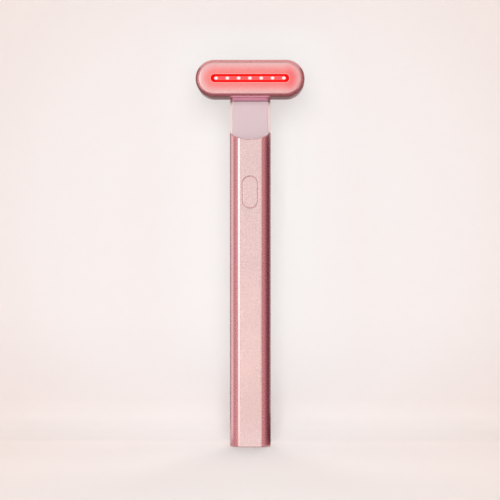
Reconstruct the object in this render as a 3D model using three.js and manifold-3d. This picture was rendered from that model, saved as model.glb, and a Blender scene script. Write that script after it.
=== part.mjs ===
// Red light facial wand: a slim handle, a short neck and a pill-shaped light head that swivels on it.
// Millimetres. +Z runs up the handle, the treatment face and the button look towards -Y.
// The origin is the middle of the bottom end of the handle.

import * as THREE from 'three';
import { mergeVertices } from 'three/addons/utils/BufferGeometryUtils.js';
import Module from 'manifold-3d';

const wasm = await Module();
wasm.setup();

// Counts of flat steps on round stretches
const pillArcSteps = 16;
const flankSteps = 12;
const creaseSteps = 3;
const roundSteps = 5;
const boreSteps = 32;
const smallRoundSteps = 16;
const scoopSteps = 48;

// How far a cutting tool runs past what it cuts, and how deep a joined rib sinks into its wall
const overrun = 2;
const weldDepth = 0.3;

// Handle tube: a round section with a flat front and a flat back
const handleRadius = 8.75;
const handleFlatDepth = 7.4;
const creaseRadius = 0.5;
const handleWall = 1.2;
const handleLength = 131.1;

// Scooped joint between the handle and the neck
const scoopRadius = 17;
const scoopRiseShare = 0.15;
const seamGap = 0.2;

// End cap
const capHeight = 1.5;
const capEdgeRadius = 1.1;
const capLipHeight = 3.5;
const capLipWall = 1;
const slideGap = 0.15;

// Charging port
const portWidth = 8.9;
const portDepth = 3.2;
const portShellWall = 0.3;
const portMouthDepth = 0.3;
const portLength = 7.3;
const portBackWall = 0.6;
const portGap = 0.15;
const tongueWidth = 6.7;
const tongueThickness = 0.7;
const tongueMouthDepth = 0.7;

// Circuit boards in the handle
const boardThickness = 1;
const boardEndGap = 0.6;
const portBoardWidth = 10.6;
const portBoardLength = 16.5;
const mainBoardWidth = 11.8;
const mainBoardLength = 52;
const mainBoardFrontDepth = 1;

// Chassis tray
const chassisGap = 0.2;
const chassisEndGap = 0.3;
const chassisWall = 1;
const chassisEdgeDepth = 1;
const chassisRibThickness = 1.2;
const leadNotchWidth = 3;
const leadNotchDepth = 2;

// Battery: it takes the length that the two boards leave
const cellRadius = 5;
const cellGap = 0.3;
const cellCrimpDepth = 0.35;
const cellCrimpWidth = 1.2;
const cellCrimpDistance = 3;
const cellNippleRadius = 1.8;
const cellNippleHeight = 0.9;

// Board screws
const boardScrewHeadRadius = 1.3;
const boardScrewHeadHeight = 0.9;
const boardScrewRadius = 0.55;
const boardScrewLength = 4.4;
const boardScrewGap = 0.15;
const boardBossRadius = 1.8;
const lowerScrewDistance = 4.5;
const upperScrewDistance = 7.7;

// Parts on the main board
const chipWidth = 5;
const chipHeight = 0.9;
const chipDistance = 16.7;
const connectorWidth = 5.6;
const connectorLength = 3.4;
const connectorDepth = 2.2;
const connectorWall = 0.6;

// Power button and its switch
const buttonWidth = 6.3;
const buttonLength = 13.4;
const buttonGap = 0.3;
const buttonDistance = 22.4;
const buttonEdgeRadius = 0.2;
const buttonTravelLength = 0.4;
const buttonFlangeWidth = 8.3;
const buttonFlangeLength = 15.4;
const buttonFlangeThickness = 0.7;
const buttonFlangeGap = 0.1;
const buttonStemRadius = 1.6;
const switchWidth = 4.6;
const switchDepth = 2.2;
const plungerRadius = 1;
const plungerOutLength = 1;
const plungerInLength = 0.8;
const plungerGap = 0.15;
const stemGap = 0.05;

// Neck housing: thinner than the handle, so that it stands back from the handle's flats
const neckLength = 16.4;
const neckFlatDepth = 4.3;
const shoulderWall = 2.5;
const shoulderStepDepth = 0.3;
const neckBoreRadius = 5.2;
const spigotLength = 9.6;

// Swivel
const collarHeight = 1.4;
const collarInsetDepth = 0.1;
const swivelGap = 0.2;
const pivotRadius = 2.4;
const pivotBoreRadius = 1.6;
const pivotGap = 0.15;
const pivotFlangeRadius = 4.7;
const pivotFlangeThickness = 1.2;
const pivotFlangeFlatDepth = 3.3;
const pivotSeatGap = 0.2;
const pivotTailLength = 0.4;
const keyRibThickness = 1;
const washerRadius = 4.6;
const washerThickness = 0.6;
const washerGap = 0.15;
const nutRadius = 4.4;
const nutHeight = 2;
const nutThreadGap = 0.05;
const stopTabWidth = 1.6;
const stopTabRadius = 4.95;
const stopGap = 0.3;
const stopLedgeDepth = 0.6;
const ringSectionRadius = 0.4;
const ringGap = 0.15;
const ringSeatGap = 0.05;

// Light head: a pill lying across the handle
const headWidth = 46.4;
const headHeight = 15.9;
const headFrontDepth = 9.5;
const headBackDepth = 9.8;
const headWall = 1.5;
const backEdgeDepth = 4.2;
const backEdgeInsetDepth = 3.6;
const backHollowEdgeDepth = 3;
const backHollowInsetDepth = 2.6;
const rimEdgeDepth = 1.5;
const rimEdgeInsetDepth = 1.2;
const rimWidth = 1.5;
const lipHeight = 1;
const lipGap = 0.15;

// Treatment plate, heater film and light window
const plateGap = 0.15;
const plateRiseHeight = 0.3;
const plateThickness = 1.2;
const plateEdgeRadius = 0.35;
const ledgeWidth = 1.2;
const ledgeThickness = 0.8;
const slotEndDistance = 4.95;
const slotWidth = 3.5;
const windowGap = 0.12;
const windowRecessDepth = 0.1;
const windowLapWidth = 0.7;
const windowFlangeThickness = 0.65;
const windowSeatGap = 0.15;
const filmThickness = 0.2;
const filmGap = 0.2;
const filmEdgeGap = 0.45;
const filmNotchWidth = 3;

// Light board, lamps and reflector
const lightChamberDepth = 2.3;
const lightBoardGap = 0.5;
const lightBoardThickness = 1;
const lampCount = 7;
const lampEndDistance = 2.2;
const lampLength = 2;
const lampWidth = 1.6;
const lampBaseHeight = 0.5;
const lampDomeHeight = 0.5;
const lampDomeRadius = 0.7;
const lampCellWall = 1;
const lampCellGap = 0.4;

// Spring contact between the light board and the plate
const contactWidth = 1.6;
const contactThickness = 0.2;
const contactSideGap = 0.25;
const contactGap = 0.1;

// Head screws
const headScrewDistance = 3.1;
const headScrewRadius = 0.7;
const headScrewHeadRadius = 1.1;
const headScrewHeadHeight = 0.8;
const headScrewLength = 8;
const headScrewGap = 0.15;
const headBossRadius = 1.7;
const headSeamDistance = 0.8;

// Massage motor
const motorRadius = 3.1;
const motorLength = 14;
const motorEndDistance = 2;
const bootWall = 1.2;
const bootLength = 7;
const bootEndDistance = 3.5;
const bootGap = 0.1;
const bootRibThickness = 1;
const bootRibHeight = 4;
const bootRibGap = 0.25;
const shaftRadius = 0.5;
const shaftLength = 9;
const shaftInLength = 3.5;
const shaftGap = 0.15;
const weightRadius = 2.8;
const weightLength = 4;
const weightHubWall = 0.5;
const weightEndGap = 1;
const weightGap = 0.05;

// Levels up the handle that follow from the sizes above
const neckHeight = handleLength + neckLength;
const shoulderUnderside = handleLength - shoulderWall;
const nutTop = shoulderUnderside - washerThickness - washerGap * 2;
const headBottom = neckHeight + collarHeight + swivelGap;
const headCentre = headBottom + headHeight / 2;
const spigotLow = handleLength - spigotLength;
const chassisLow = capHeight + capLipHeight + chassisEndGap;
const chassisHigh = spigotLow - chassisEndGap;
const mainBoardHigh = chassisHigh - boardEndGap;
const mainBoardLow = mainBoardHigh - mainBoardLength;
const portBoardLow = capHeight + boardEndGap;
const portBoardHigh = portBoardLow + portBoardLength;
const cellLow = portBoardHigh + boardEndGap + chassisRibThickness + cellGap;
const cellTop = mainBoardLow - boardEndGap - chassisRibThickness - cellGap;
const buttonCentre = handleLength - buttonDistance;
const lowerScrewHeight = mainBoardLow + lowerScrewDistance;
const upperScrewHeight = buttonCentre - upperScrewDistance;

// Depths that follow from the sizes above
const mainBoardBackDepth = mainBoardFrontDepth - boardThickness;
const portBoardFront = portDepth / 2;
const chassisInset = handleWall + chassisGap;
const chassisFloor = handleFlatDepth - chassisInset - chassisWall;
const cellShift = chassisFloor - cellRadius - cellGap;
const plateFront = headFrontDepth + plateRiseHeight;
const plateBack = plateFront - plateThickness;
const windowBack = plateBack - windowSeatGap - windowFlangeThickness;
const lightBoardFront = plateBack - lightChamberDepth;
const lightBoardBack = lightBoardFront - lightBoardThickness;
const headSeam = lightBoardBack - headSeamDistance;
const headScrewSeat = plateBack - windowSeatGap - headScrewHeadHeight;
const headInnerBack = headWall - headBackDepth;
const bootHalf = motorRadius + bootWall;
const motorDepth = -headInnerBack - bootGap - bootHalf;

// Widths on the treatment face that follow from the sizes above
const slotLength = headWidth - (rimWidth + plateGap + slotEndDistance) * 2;
const windowFlangeLength = slotLength + windowLapWidth * 2;
const windowFlangeWidth = slotWidth + windowLapWidth * 2;
const headScrewOffset = headWidth / 2 - headScrewDistance;
const ledgeInset = rimWidth + ledgeWidth;
const ledgeOpeningHeight = headHeight - ledgeInset * 2;
const filmLength = (headScrewOffset - headBossRadius - filmGap) * 2;
const filmWidth = ledgeOpeningHeight - filmEdgeGap * 2;
const lampPitch = (slotLength - lampEndDistance * 2) / (lampCount - 1);
const cellFrontRadius = (lampPitch - lampCellWall) / 2;
const cellBackRadius = lampLength / 2 + lampCellGap;
const contactLow = windowFlangeWidth / 2 + contactSideGap;
const contactReach = ledgeOpeningHeight / 2 - contactSideGap - contactLow;

// Turns a closed geometry into a solid that can be cut and joined.
function solidOf(geometry) {
  const bare = new THREE.BufferGeometry();
  bare.setAttribute('position', geometry.getAttribute('position'));
  bare.setIndex(geometry.getIndex());
  const merged = mergeVertices(bare);
  return new wasm.Manifold(new wasm.Mesh({
    numProp: 3,
    vertProperties: new Float32Array(merged.getAttribute('position').array),
    triVerts: new Uint32Array(merged.getIndex().array),
  }));
}

// Turns a solid back into a geometry with flat faces.
function geometryOf(solid) {
  const mesh = solid.getMesh();
  const geometry = new THREE.BufferGeometry();
  geometry.setAttribute('position', new THREE.BufferAttribute(mesh.vertProperties, mesh.numProp));
  geometry.setIndex(new THREE.BufferAttribute(mesh.triVerts, 1));
  geometry.computeVertexNormals();
  return geometry;
}

function join(...solids) {
  return solids.reduce((whole, piece) => whole.add(piece));
}

function cut(blank, ...tools) {
  return tools.reduce((whole, tool) => whole.subtract(tool), blank);
}

// A closed solid through rings of points; each ring is { at, points } with the same number of points.
function loft(rings) {
  const count = rings[0].points.length;
  const positions = [];
  const triangles = [];
  rings.forEach(({ at, points }) => points.forEach((point) => positions.push(point.x, point.y, at)));
  for (let ring = 0; ring + 1 < rings.length; ring += 1) {
    for (let step = 0; step < count; step += 1) {
      const next = (step + 1) % count;
      const low = ring * count;
      const high = low + count;
      triangles.push(low + step, low + next, high + next, low + step, high + next, high + step);
    }
  }
  const last = (rings.length - 1) * count;
  for (let step = 1; step + 1 < count; step += 1) {
    triangles.push(0, step + 1, step, last, last + step, last + step + 1);
  }
  const geometry = new THREE.BufferGeometry();
  geometry.setAttribute('position', new THREE.Float32BufferAttribute(positions, 3));
  geometry.setIndex(triangles);
  return solidOf(geometry);
}

// Points of an arc about a centre, both ends included.
function arcPoints(centreX, centreY, radius, from, to, steps) {
  return Array.from({ length: steps + 1 }, (unused, step) => {
    const angle = from + ((to - from) * step) / steps;
    return new THREE.Vector2(centreX + radius * Math.cos(angle), centreY + radius * Math.sin(angle));
  });
}

// Outline of a pill lying along X, drawn in by an inset.
function pillOutline(length, width, inset = 0) {
  const straight = (length - width) / 2;
  const radius = width / 2 - inset;
  const quarter = Math.PI / 2;
  return [
    ...arcPoints(straight, 0, radius, -quarter, quarter, pillArcSteps),
    ...arcPoints(-straight, 0, radius, quarter, quarter * 3, pillArcSteps),
  ];
}

// Outline of a section: the handle's circle with two flats and softened creases, drawn in by an inset.
function flattedOutline(flatDepth, inset) {
  const radius = handleRadius - inset;
  const flat = flatDepth - inset;
  const crease = creaseRadius;
  const creaseX = Math.sqrt((radius - crease) ** 2 - (flat - crease) ** 2);
  const turn = Math.atan2(flat - crease, creaseX);
  const quarter = Math.PI / 2;
  return [
    ...arcPoints(0, 0, radius, -turn, turn, flankSteps),
    ...arcPoints(creaseX, flat - crease, crease, turn, quarter, creaseSteps).slice(1),
    ...arcPoints(-creaseX, flat - crease, crease, quarter, Math.PI - turn, creaseSteps),
    ...arcPoints(0, 0, radius, Math.PI - turn, Math.PI + turn, flankSteps).slice(1),
    ...arcPoints(-creaseX, crease - flat, crease, Math.PI + turn, quarter * 3, creaseSteps).slice(1),
    ...arcPoints(creaseX, crease - flat, crease, quarter * 3, Math.PI * 2 - turn, creaseSteps).slice(0, -1),
  ];
}

function handleOutline(inset = 0) {
  return flattedOutline(handleFlatDepth, inset);
}

function neckOutline(inset = 0) {
  return flattedOutline(neckFlatDepth, inset);
}

// A rounded edge as rings: the outline is drawn in at the end face and full where the side starts.
function roundedEdge(face, into, inset) {
  return Array.from({ length: roundSteps + 1 }, (unused, step) => {
    const angle = (Math.PI / 2) * (step / roundSteps);
    return { at: face + into * (1 - Math.cos(angle)), inset: inset * (1 - Math.sin(angle)) };
  });
}

function outlineLoft(outlineAt, rings) {
  return loft(rings.map(({ at, inset }) => ({ at, points: outlineAt(inset) })));
}

function prism(points, low, high) {
  return loft([{ at: low, points }, { at: high, points }]);
}

// A box given by its corners.
function block(lowX, highX, lowY, highY, lowZ, highZ) {
  const geometry = new THREE.BoxGeometry(highX - lowX, highY - lowY, highZ - lowZ);
  geometry.translate((lowX + highX) / 2, (lowY + highY) / 2, (lowZ + highZ) / 2);
  return solidOf(geometry);
}

// A rod along Z; a second radius makes it a cone.
function rodZ(radius, low, high, steps = boreSteps, highRadius = radius) {
  const geometry = new THREE.CylinderGeometry(highRadius, radius, high - low, steps);
  geometry.rotateX(Math.PI / 2);
  geometry.translate(0, 0, (low + high) / 2);
  return solidOf(geometry);
}

// A rod along Y.
function rodY(radius, low, high, steps = boreSteps) {
  const geometry = new THREE.CylinderGeometry(radius, radius, high - low, steps);
  geometry.translate(0, (low + high) / 2, 0);
  return solidOf(geometry);
}

// A rod along X.
function rodX(radius, low, high, steps = boreSteps) {
  const geometry = new THREE.CylinderGeometry(radius, radius, high - low, steps);
  geometry.rotateZ(Math.PI / 2);
  geometry.translate((low + high) / 2, 0, 0);
  return solidOf(geometry);
}

// A turned piece about Z from a profile of [radius, height] pairs.
function turned(profile, steps = boreSteps) {
  const points = profile.map(([radius, height]) => new THREE.Vector2(radius, height));
  const geometry = new THREE.LatheGeometry([...points, points[0]], steps);
  geometry.rotateX(Math.PI / 2);
  return solidOf(geometry);
}

// An outline turned from lying along X to standing along Y.
function upright(points) {
  return points.map((point) => new THREE.Vector2(-point.y, point.x));
}

// Turns a solid whose thickness runs along Z so that the thickness runs towards the front.
function facingFront(solid) {
  return solid.rotate([90, 0, 0]);
}

// Finishes of the sub-parts
const finishes = {
  roseMetal: { color: 0xdca9a4, roughness: 0.36, metalness: 0.85 },
  roseDark: { color: 0xa9626f, roughness: 0.4, metalness: 0.8 },
  platePink: { color: 0xf0b6b2, roughness: 0.3, metalness: 0.7 },
  neckPink: { color: 0xe0c6c9, roughness: 0.45, metalness: 0.1 },
  redLens: { color: 0xff1a1a, roughness: 0.15, metalness: 0 },
  lamp: { color: 0xfff4f0, roughness: 0.3, metalness: 0 },
  whitePlastic: { color: 0xe9e4e0, roughness: 0.5, metalness: 0 },
  greyPlastic: { color: 0x8f8c8d, roughness: 0.55, metalness: 0 },
  circuit: { color: 0x2d6b4b, roughness: 0.5, metalness: 0.1 },
  blackPlastic: { color: 0x222225, roughness: 0.5, metalness: 0 },
  steel: { color: 0xb9bbbe, roughness: 0.3, metalness: 1 },
  darkRubber: { color: 0x2b2829, roughness: 0.8, metalness: 0 },
  cellWrap: { color: 0x4b6fa5, roughness: 0.4, metalness: 0 },
  film: { color: 0xb8742c, roughness: 0.4, metalness: 0.1 },
};

function piece(name, solid, finish) {
  const mesh = new THREE.Mesh(geometryOf(solid), new THREE.MeshStandardMaterial(finishes[finish]));
  mesh.name = name;
  return mesh;
}

// The U-shaped body above the scoop, wide enough to cover the whole handle.
function aboveScoop(radius) {
  const centre = handleLength + scoopRadius;
  const shape = new THREE.Shape();
  shape.absarc(0, centre, radius, Math.PI, Math.PI * 2, false);
  shape.lineTo(radius, neckHeight + scoopRadius);
  shape.lineTo(-radius, neckHeight + scoopRadius);
  shape.closePath();
  const reach = handleRadius + overrun;
  const geometry = new THREE.ExtrudeGeometry(shape, {
    depth: reach * 2,
    bevelEnabled: false,
    curveSegments: scoopSteps,
  });
  geometry.translate(0, 0, -reach);
  geometry.rotateX(Math.PI / 2);
  const lean = new THREE.Matrix4();
  lean.set(
    1, 0, 0, 0,
    0, 1, 0, 0,
    0, scoopRiseShare, 1, scoopRiseShare * handleFlatDepth,
    0, 0, 0, 1,
  );
  geometry.applyMatrix4(lean);
  return solidOf(geometry);
}

function handleTube() {
  const tallest = handleLength + scoopRadius;
  const blank = prism(handleOutline(), capHeight, tallest);
  const hollow = prism(handleOutline(handleWall), capHeight - overrun, tallest + overrun);
  const slotOutline = upright(pillOutline(buttonLength + buttonGap * 2, buttonWidth + buttonGap * 2));
  const slot = facingFront(prism(slotOutline, 0, handleRadius + overrun));
  return cut(blank, hollow, aboveScoop(scoopRadius + seamGap), slot.translate([0, 0, buttonCentre]));
}

function endCap() {
  const shell = outlineLoft(handleOutline, [
    ...roundedEdge(0, capEdgeRadius, capEdgeRadius),
    { at: capHeight, inset: 0 },
  ]);
  const lipInset = handleWall + slideGap;
  const lipTop = capHeight + capLipHeight;
  const lip = prism(handleOutline(lipInset), capHeight - weldDepth, lipTop);
  const lipHollow = prism(handleOutline(lipInset + capLipWall), capHeight, lipTop + overrun);
  const portHole = prism(pillOutline(portWidth + portGap * 2, portDepth + portGap * 2), -overrun, lipTop);
  return cut(join(shell, lip), lipHollow, portHole);
}

function portShell() {
  const high = portMouthDepth + portLength;
  const shell = prism(pillOutline(portWidth, portDepth), portMouthDepth, high);
  const mouth = prism(
    pillOutline(portWidth, portDepth, portShellWall),
    portMouthDepth - overrun,
    high - portBackWall,
  );
  return cut(shell, mouth);
}

function portTongue() {
  const low = portMouthDepth + tongueMouthDepth;
  const high = portMouthDepth + portLength - portBackWall;
  return block(-tongueWidth / 2, tongueWidth / 2, -tongueThickness / 2, tongueThickness / 2, low, high);
}

function portBoard() {
  const half = portBoardWidth / 2;
  return block(-half, half, portBoardFront, portBoardFront + boardThickness, portBoardLow, portBoardHigh);
}

// The tray that slides into the tube and carries the boards and the battery.
function chassis() {
  const innerInset = chassisInset + chassisWall;
  const wide = handleRadius;
  const outer = prism(handleOutline(chassisInset), chassisLow, chassisHigh);
  const inner = prism(handleOutline(innerInset), chassisLow - overrun, chassisHigh + overrun);
  const frontCut = block(-wide, wide, -wide, -chassisEdgeDepth, chassisLow - overrun, chassisHigh + overrun);
  const portBack = portBoardFront + boardThickness;
  const ribs = [
    { low: chassisLow, front: portBack },
    { low: portBoardHigh - chassisRibThickness, front: portBack },
    { low: portBoardHigh + boardEndGap, front: -chassisEdgeDepth, notch: true },
    { low: cellTop + cellGap, front: -chassisEdgeDepth, notch: true },
    { low: (lowerScrewHeight + upperScrewHeight) / 2, front: -mainBoardBackDepth },
    { low: mainBoardHigh - chassisRibThickness, front: -mainBoardBackDepth },
  ];
  const ribSolids = ribs.map(({ low, front, notch }) => {
    const slice = prism(handleOutline(innerInset - weldDepth), low, low + chassisRibThickness);
    const rib = cut(slice, block(-wide, wide, -wide, front, low - overrun, low + overrun));
    const half = leadNotchWidth / 2;
    const notchTop = chassisFloor - leadNotchDepth;
    return notch ? cut(rib, block(-half, half, notchTop, chassisFloor, low - overrun, low + overrun)) : rib;
  });
  const screwHeights = [lowerScrewHeight, upperScrewHeight];
  const bosses = screwHeights.map((height) => (
    rodY(boardBossRadius, -mainBoardBackDepth, chassisFloor + weldDepth, smallRoundSteps)
      .translate([0, 0, height])
  ));
  const holeBack = boardScrewLength + boardScrewGap - mainBoardFrontDepth;
  const holes = screwHeights.map((height) => (
    rodY(boardScrewRadius + boardScrewGap, -mainBoardBackDepth - overrun, holeBack, smallRoundSteps)
      .translate([0, 0, height])
  ));
  return cut(join(cut(outer, inner, frontCut), ...ribSolids, ...bosses), ...holes);
}

function battery() {
  const high = cellTop - cellNippleHeight;
  const crimp = high - cellCrimpDistance;
  const crimpRadius = cellRadius - cellCrimpDepth;
  return turned([
    [0, cellLow],
    [cellRadius, cellLow],
    [cellRadius, crimp - cellCrimpWidth],
    [crimpRadius, crimp - cellCrimpWidth / 2],
    [cellRadius, crimp],
    [cellRadius, high],
    [cellNippleRadius, high],
    [cellNippleRadius, cellTop],
    [0, cellTop],
  ]).translate([0, cellShift, 0]);
}

function mainBoard() {
  const half = mainBoardWidth / 2;
  const board = block(-half, half, -mainBoardFrontDepth, -mainBoardBackDepth, mainBoardLow, mainBoardHigh);
  const holes = [lowerScrewHeight, upperScrewHeight].map((height) => {
    const radius = boardScrewRadius + boardScrewGap;
    return rodY(radius, -mainBoardFrontDepth - overrun, overrun, smallRoundSteps).translate([0, 0, height]);
  });
  return cut(board, ...holes);
}

function boardScrew(height) {
  const headFront = -mainBoardFrontDepth - boardScrewHeadHeight;
  const head = rodY(boardScrewHeadRadius, headFront, -mainBoardFrontDepth, smallRoundSteps);
  const tip = boardScrewLength - mainBoardFrontDepth;
  const shank = rodY(boardScrewRadius, -mainBoardFrontDepth - weldDepth, tip, smallRoundSteps);
  return join(head, shank).translate([0, 0, height]);
}

function controllerChip() {
  const half = chipWidth / 2;
  const front = -mainBoardFrontDepth - chipHeight;
  const centre = buttonCentre - chipDistance;
  return block(-half, half, front, -mainBoardFrontDepth, centre - half, centre + half);
}

function headConnector() {
  const half = connectorWidth / 2;
  const centre = (buttonCentre + switchWidth / 2 + mainBoardHigh) / 2;
  const low = centre - connectorLength / 2;
  const high = low + connectorLength;
  const front = -mainBoardFrontDepth - connectorDepth;
  const body = block(-half, half, front, -mainBoardFrontDepth, low, high);
  const pocket = block(
    -half + connectorWall,
    half - connectorWall,
    front + connectorWall,
    -mainBoardFrontDepth - connectorWall,
    low + connectorWall,
    high + overrun,
  );
  return cut(body, pocket);
}

function switchBody() {
  const half = switchWidth / 2;
  const front = -mainBoardFrontDepth - switchDepth;
  const body = block(
    -half,
    half,
    front,
    -mainBoardFrontDepth,
    buttonCentre - half,
    buttonCentre + half,
  );
  const wellDepth = plungerInLength + buttonTravelLength + stopGap;
  const well = rodY(plungerRadius + plungerGap, front - overrun, front + wellDepth, smallRoundSteps);
  return cut(body, well.translate([0, 0, buttonCentre]));
}

function switchPlunger() {
  const bodyFront = -mainBoardFrontDepth - switchDepth;
  const front = bodyFront - plungerOutLength;
  const back = bodyFront + plungerInLength;
  return rodY(plungerRadius, front, back, smallRoundSteps).translate([0, 0, buttonCentre]);
}

// The key: a flush pill, a flange that keeps it in the tube and a stem that reaches the switch.
function powerButton() {
  const flangeFront = handleFlatDepth - handleWall - buttonFlangeGap;
  const flangeBack = flangeFront - buttonFlangeThickness;
  const stemEnd = mainBoardFrontDepth + switchDepth + plungerOutLength + stemGap;
  const keyOutline = (inset) => upright(pillOutline(buttonLength, buttonWidth, inset));
  const key = outlineLoft(keyOutline, [
    { at: flangeFront - weldDepth, inset: 0 },
    ...roundedEdge(handleFlatDepth, -buttonEdgeRadius, buttonEdgeRadius).reverse(),
  ]);
  const flange = prism(upright(pillOutline(buttonFlangeLength, buttonFlangeWidth)), flangeBack, flangeFront);
  const stem = rodZ(buttonStemRadius, stemEnd, flangeFront, smallRoundSteps);
  return facingFront(join(key, flange, stem)).translate([0, 0, buttonCentre]);
}

// The neck: as wide as the handle but thinner, on a spigot that fills the tube up to the scoop. The
// spigot's bore takes the nut and the leads, and the pivot's hole runs on up through the neck.
function neckHousing() {
  const spigotOutline = handleOutline(handleWall + slideGap);
  const stem = prism(neckOutline(), spigotLow, neckHeight);
  const visible = stem.intersect(aboveScoop(scoopRadius));
  const core = stem.intersect(prism(spigotOutline, spigotLow, neckHeight));
  const spigot = cut(
    prism(spigotOutline, spigotLow, handleLength + scoopRadius),
    aboveScoop(scoopRadius + seamGap + shoulderStepDepth),
  );
  const bore = rodZ(neckBoreRadius, spigotLow - overrun, shoulderUnderside);
  const pivotHole = rodZ(pivotRadius + pivotGap, shoulderUnderside - overrun, neckHeight + overrun);
  const ringSeatRadius = pivotRadius + ringGap * 2 + ringSectionRadius * 2;
  const ringSeatDepth = ringSectionRadius * 2 + ringSeatGap * 2;
  const ringSeat = rodZ(ringSeatRadius, neckHeight - ringSeatDepth, neckHeight + overrun);
  return join(cut(join(visible, core, spigot), bore, pivotHole, ringSeat), stopLedge());
}

// Half a ring in the front of the bore: the tab of the nut comes up against its two ends.
function stopLedge() {
  const low = nutTop - nutHeight;
  const ring = cut(
    rodZ(neckBoreRadius + weldDepth, low, nutTop),
    rodZ(neckBoreRadius - stopLedgeDepth, low - overrun, nutTop + overrun),
  );
  const edge = -stopTabWidth / 2 - stopGap;
  const wide = handleRadius;
  return cut(ring, block(-wide, wide, edge, wide, low - overrun, nutTop + overrun));
}

function swivelCollar() {
  const high = neckHeight + collarHeight;
  const bore = rodZ(pivotRadius + pivotGap, neckHeight - overrun, high + overrun);
  return cut(prism(neckOutline(collarInsetDepth), neckHeight, high), bore);
}

function frictionRing() {
  const centreRadius = pivotRadius + ringGap + ringSectionRadius;
  const centreHeight = neckHeight - ringSeatGap - ringSectionRadius;
  const steps = smallRoundSteps / 2;
  const section = arcPoints(centreRadius, centreHeight, ringSectionRadius, 0, Math.PI * 2, steps);
  return turned(section.slice(0, -1).map((point) => [point.x, point.y]));
}

function thrustWasher() {
  const high = shoulderUnderside - washerGap;
  const disc = rodZ(washerRadius, high - washerThickness, high);
  return cut(disc, rodZ(pivotRadius + pivotGap, high - overrun, high + overrun));
}

function retainingNut() {
  const low = nutTop - nutHeight;
  const half = stopTabWidth / 2;
  const body = join(rodZ(nutRadius, low, nutTop), block(-half, half, 0, stopTabRadius, low, nutTop));
  return cut(body, rodZ(pivotRadius + nutThreadGap, low - overrun, nutTop + overrun));
}

// The hollow pivot: its keyed flange lies on the floor of the head, and its tail comes out under the
// neck's shoulder, where it carries the nut.
function swivelPivot() {
  const tail = nutTop - nutHeight - pivotTailLength;
  const flangeLow = headBottom + headWall + pivotSeatGap;
  const flangeHigh = flangeLow + pivotFlangeThickness;
  const body = turned([
    [pivotBoreRadius, tail],
    [pivotRadius, tail],
    [pivotRadius, flangeLow],
    [pivotFlangeRadius, flangeLow],
    [pivotFlangeRadius, flangeHigh],
    [pivotBoreRadius, flangeHigh],
  ]);
  const wide = pivotFlangeRadius + overrun;
  const rear = block(-wide, wide, pivotFlangeFlatDepth, wide, flangeLow - weldDepth, flangeHigh + overrun);
  const front = block(-wide, wide, -wide, -pivotFlangeFlatDepth, flangeLow - weldDepth, flangeHigh + overrun);
  return cut(body, rear, front);
}

// Everything below belongs to the head. It is drawn with X across, Y up and Z towards the front.
function headOutline(inset = 0) {
  return pillOutline(headWidth, headHeight, inset);
}

function headBackHousing() {
  const outer = outlineLoft(headOutline, [
    ...roundedEdge(-headBackDepth, backEdgeDepth, backEdgeInsetDepth),
    { at: headSeam, inset: 0 },
  ]);
  const innerRings = roundedEdge(headInnerBack, backHollowEdgeDepth, backHollowInsetDepth);
  const hollow = outlineLoft(
    (inset) => headOutline(inset + headWall),
    [...innerRings, { at: headSeam + lipHeight + overrun, inset: 0 }],
  );
  const lipOuterInset = headWall / 2 + lipGap;
  const lip = prism(headOutline(lipOuterInset), headSeam - weldDepth, headSeam + lipHeight);
  const shell = cut(join(outer, lip), hollow);
  const bosses = [-headScrewOffset, headScrewOffset].map((offset) => {
    const boss = rodZ(headBossRadius, headInnerBack - weldDepth, lightBoardBack, smallRoundSteps);
    return boss.translate([offset, 0, 0]);
  });
  const holes = [-headScrewOffset, headScrewOffset].map((offset) => {
    const tip = headScrewSeat - headScrewLength - headScrewGap;
    const hole = rodZ(headScrewRadius + headScrewGap, tip, lightBoardBack + overrun, smallRoundSteps);
    return hole.translate([offset, 0, 0]);
  });
  const floor = headWall - headHeight / 2;
  const pivotHole = rodY(pivotRadius + pivotGap, floor - headWall - overrun, floor + overrun);
  const bootEdge = bootHalf + bootRibGap;
  const bootHigh = motorEndDistance - bootEndDistance;
  const bootRibs = [-bootEdge - bootRibThickness, bootEdge].map((low) => (
    block(
      bootHigh - bootLength,
      bootHigh,
      low,
      low + bootRibThickness,
      headInnerBack - weldDepth,
      headInnerBack + bootRibHeight,
    )
  ));
  const keyRibEdge = pivotFlangeFlatDepth + pivotSeatGap;
  const keyRibHigh = floor + pivotSeatGap + pivotFlangeThickness;
  const keyRibs = [-keyRibEdge - keyRibThickness, keyRibEdge].map((low) => (
    block(
      -pivotFlangeRadius,
      pivotFlangeRadius,
      floor - weldDepth,
      keyRibHigh,
      low,
      low + keyRibThickness,
    )
  ));
  return cut(join(shell, ...bosses, ...bootRibs, ...keyRibs), ...holes, pivotHole);
}

function headFrontFrame() {
  const outer = outlineLoft(headOutline, [
    { at: headSeam, inset: 0 },
    ...roundedEdge(headFrontDepth, -rimEdgeDepth, rimEdgeInsetDepth).reverse(),
  ]);
  const ledgeBack = plateBack - ledgeThickness;
  const interior = prism(headOutline(headWall), headSeam - overrun, ledgeBack);
  const rebate = prism(headOutline(headWall / 2), headSeam - overrun, headSeam + lipHeight + lipGap);
  const opening = prism(headOutline(ledgeInset), headSeam, headFrontDepth + overrun);
  const pocket = prism(headOutline(rimWidth), plateBack, headFrontDepth + overrun);
  const bosses = [-headScrewOffset, headScrewOffset].map((offset) => {
    const boss = rodZ(headBossRadius, lightBoardFront, plateBack, smallRoundSteps);
    return boss.translate([offset, 0, 0]);
  });
  const holes = [-headScrewOffset, headScrewOffset].flatMap((offset) => [
    rodZ(headScrewRadius + headScrewGap, lightBoardFront - overrun, plateBack + overrun, smallRoundSteps)
      .translate([offset, 0, 0]),
    rodZ(headScrewHeadRadius + headScrewGap, headScrewSeat, plateBack + overrun, smallRoundSteps)
      .translate([offset, 0, 0]),
  ]);
  return cut(join(cut(outer, interior, rebate, opening, pocket), ...bosses), ...holes);
}

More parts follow.
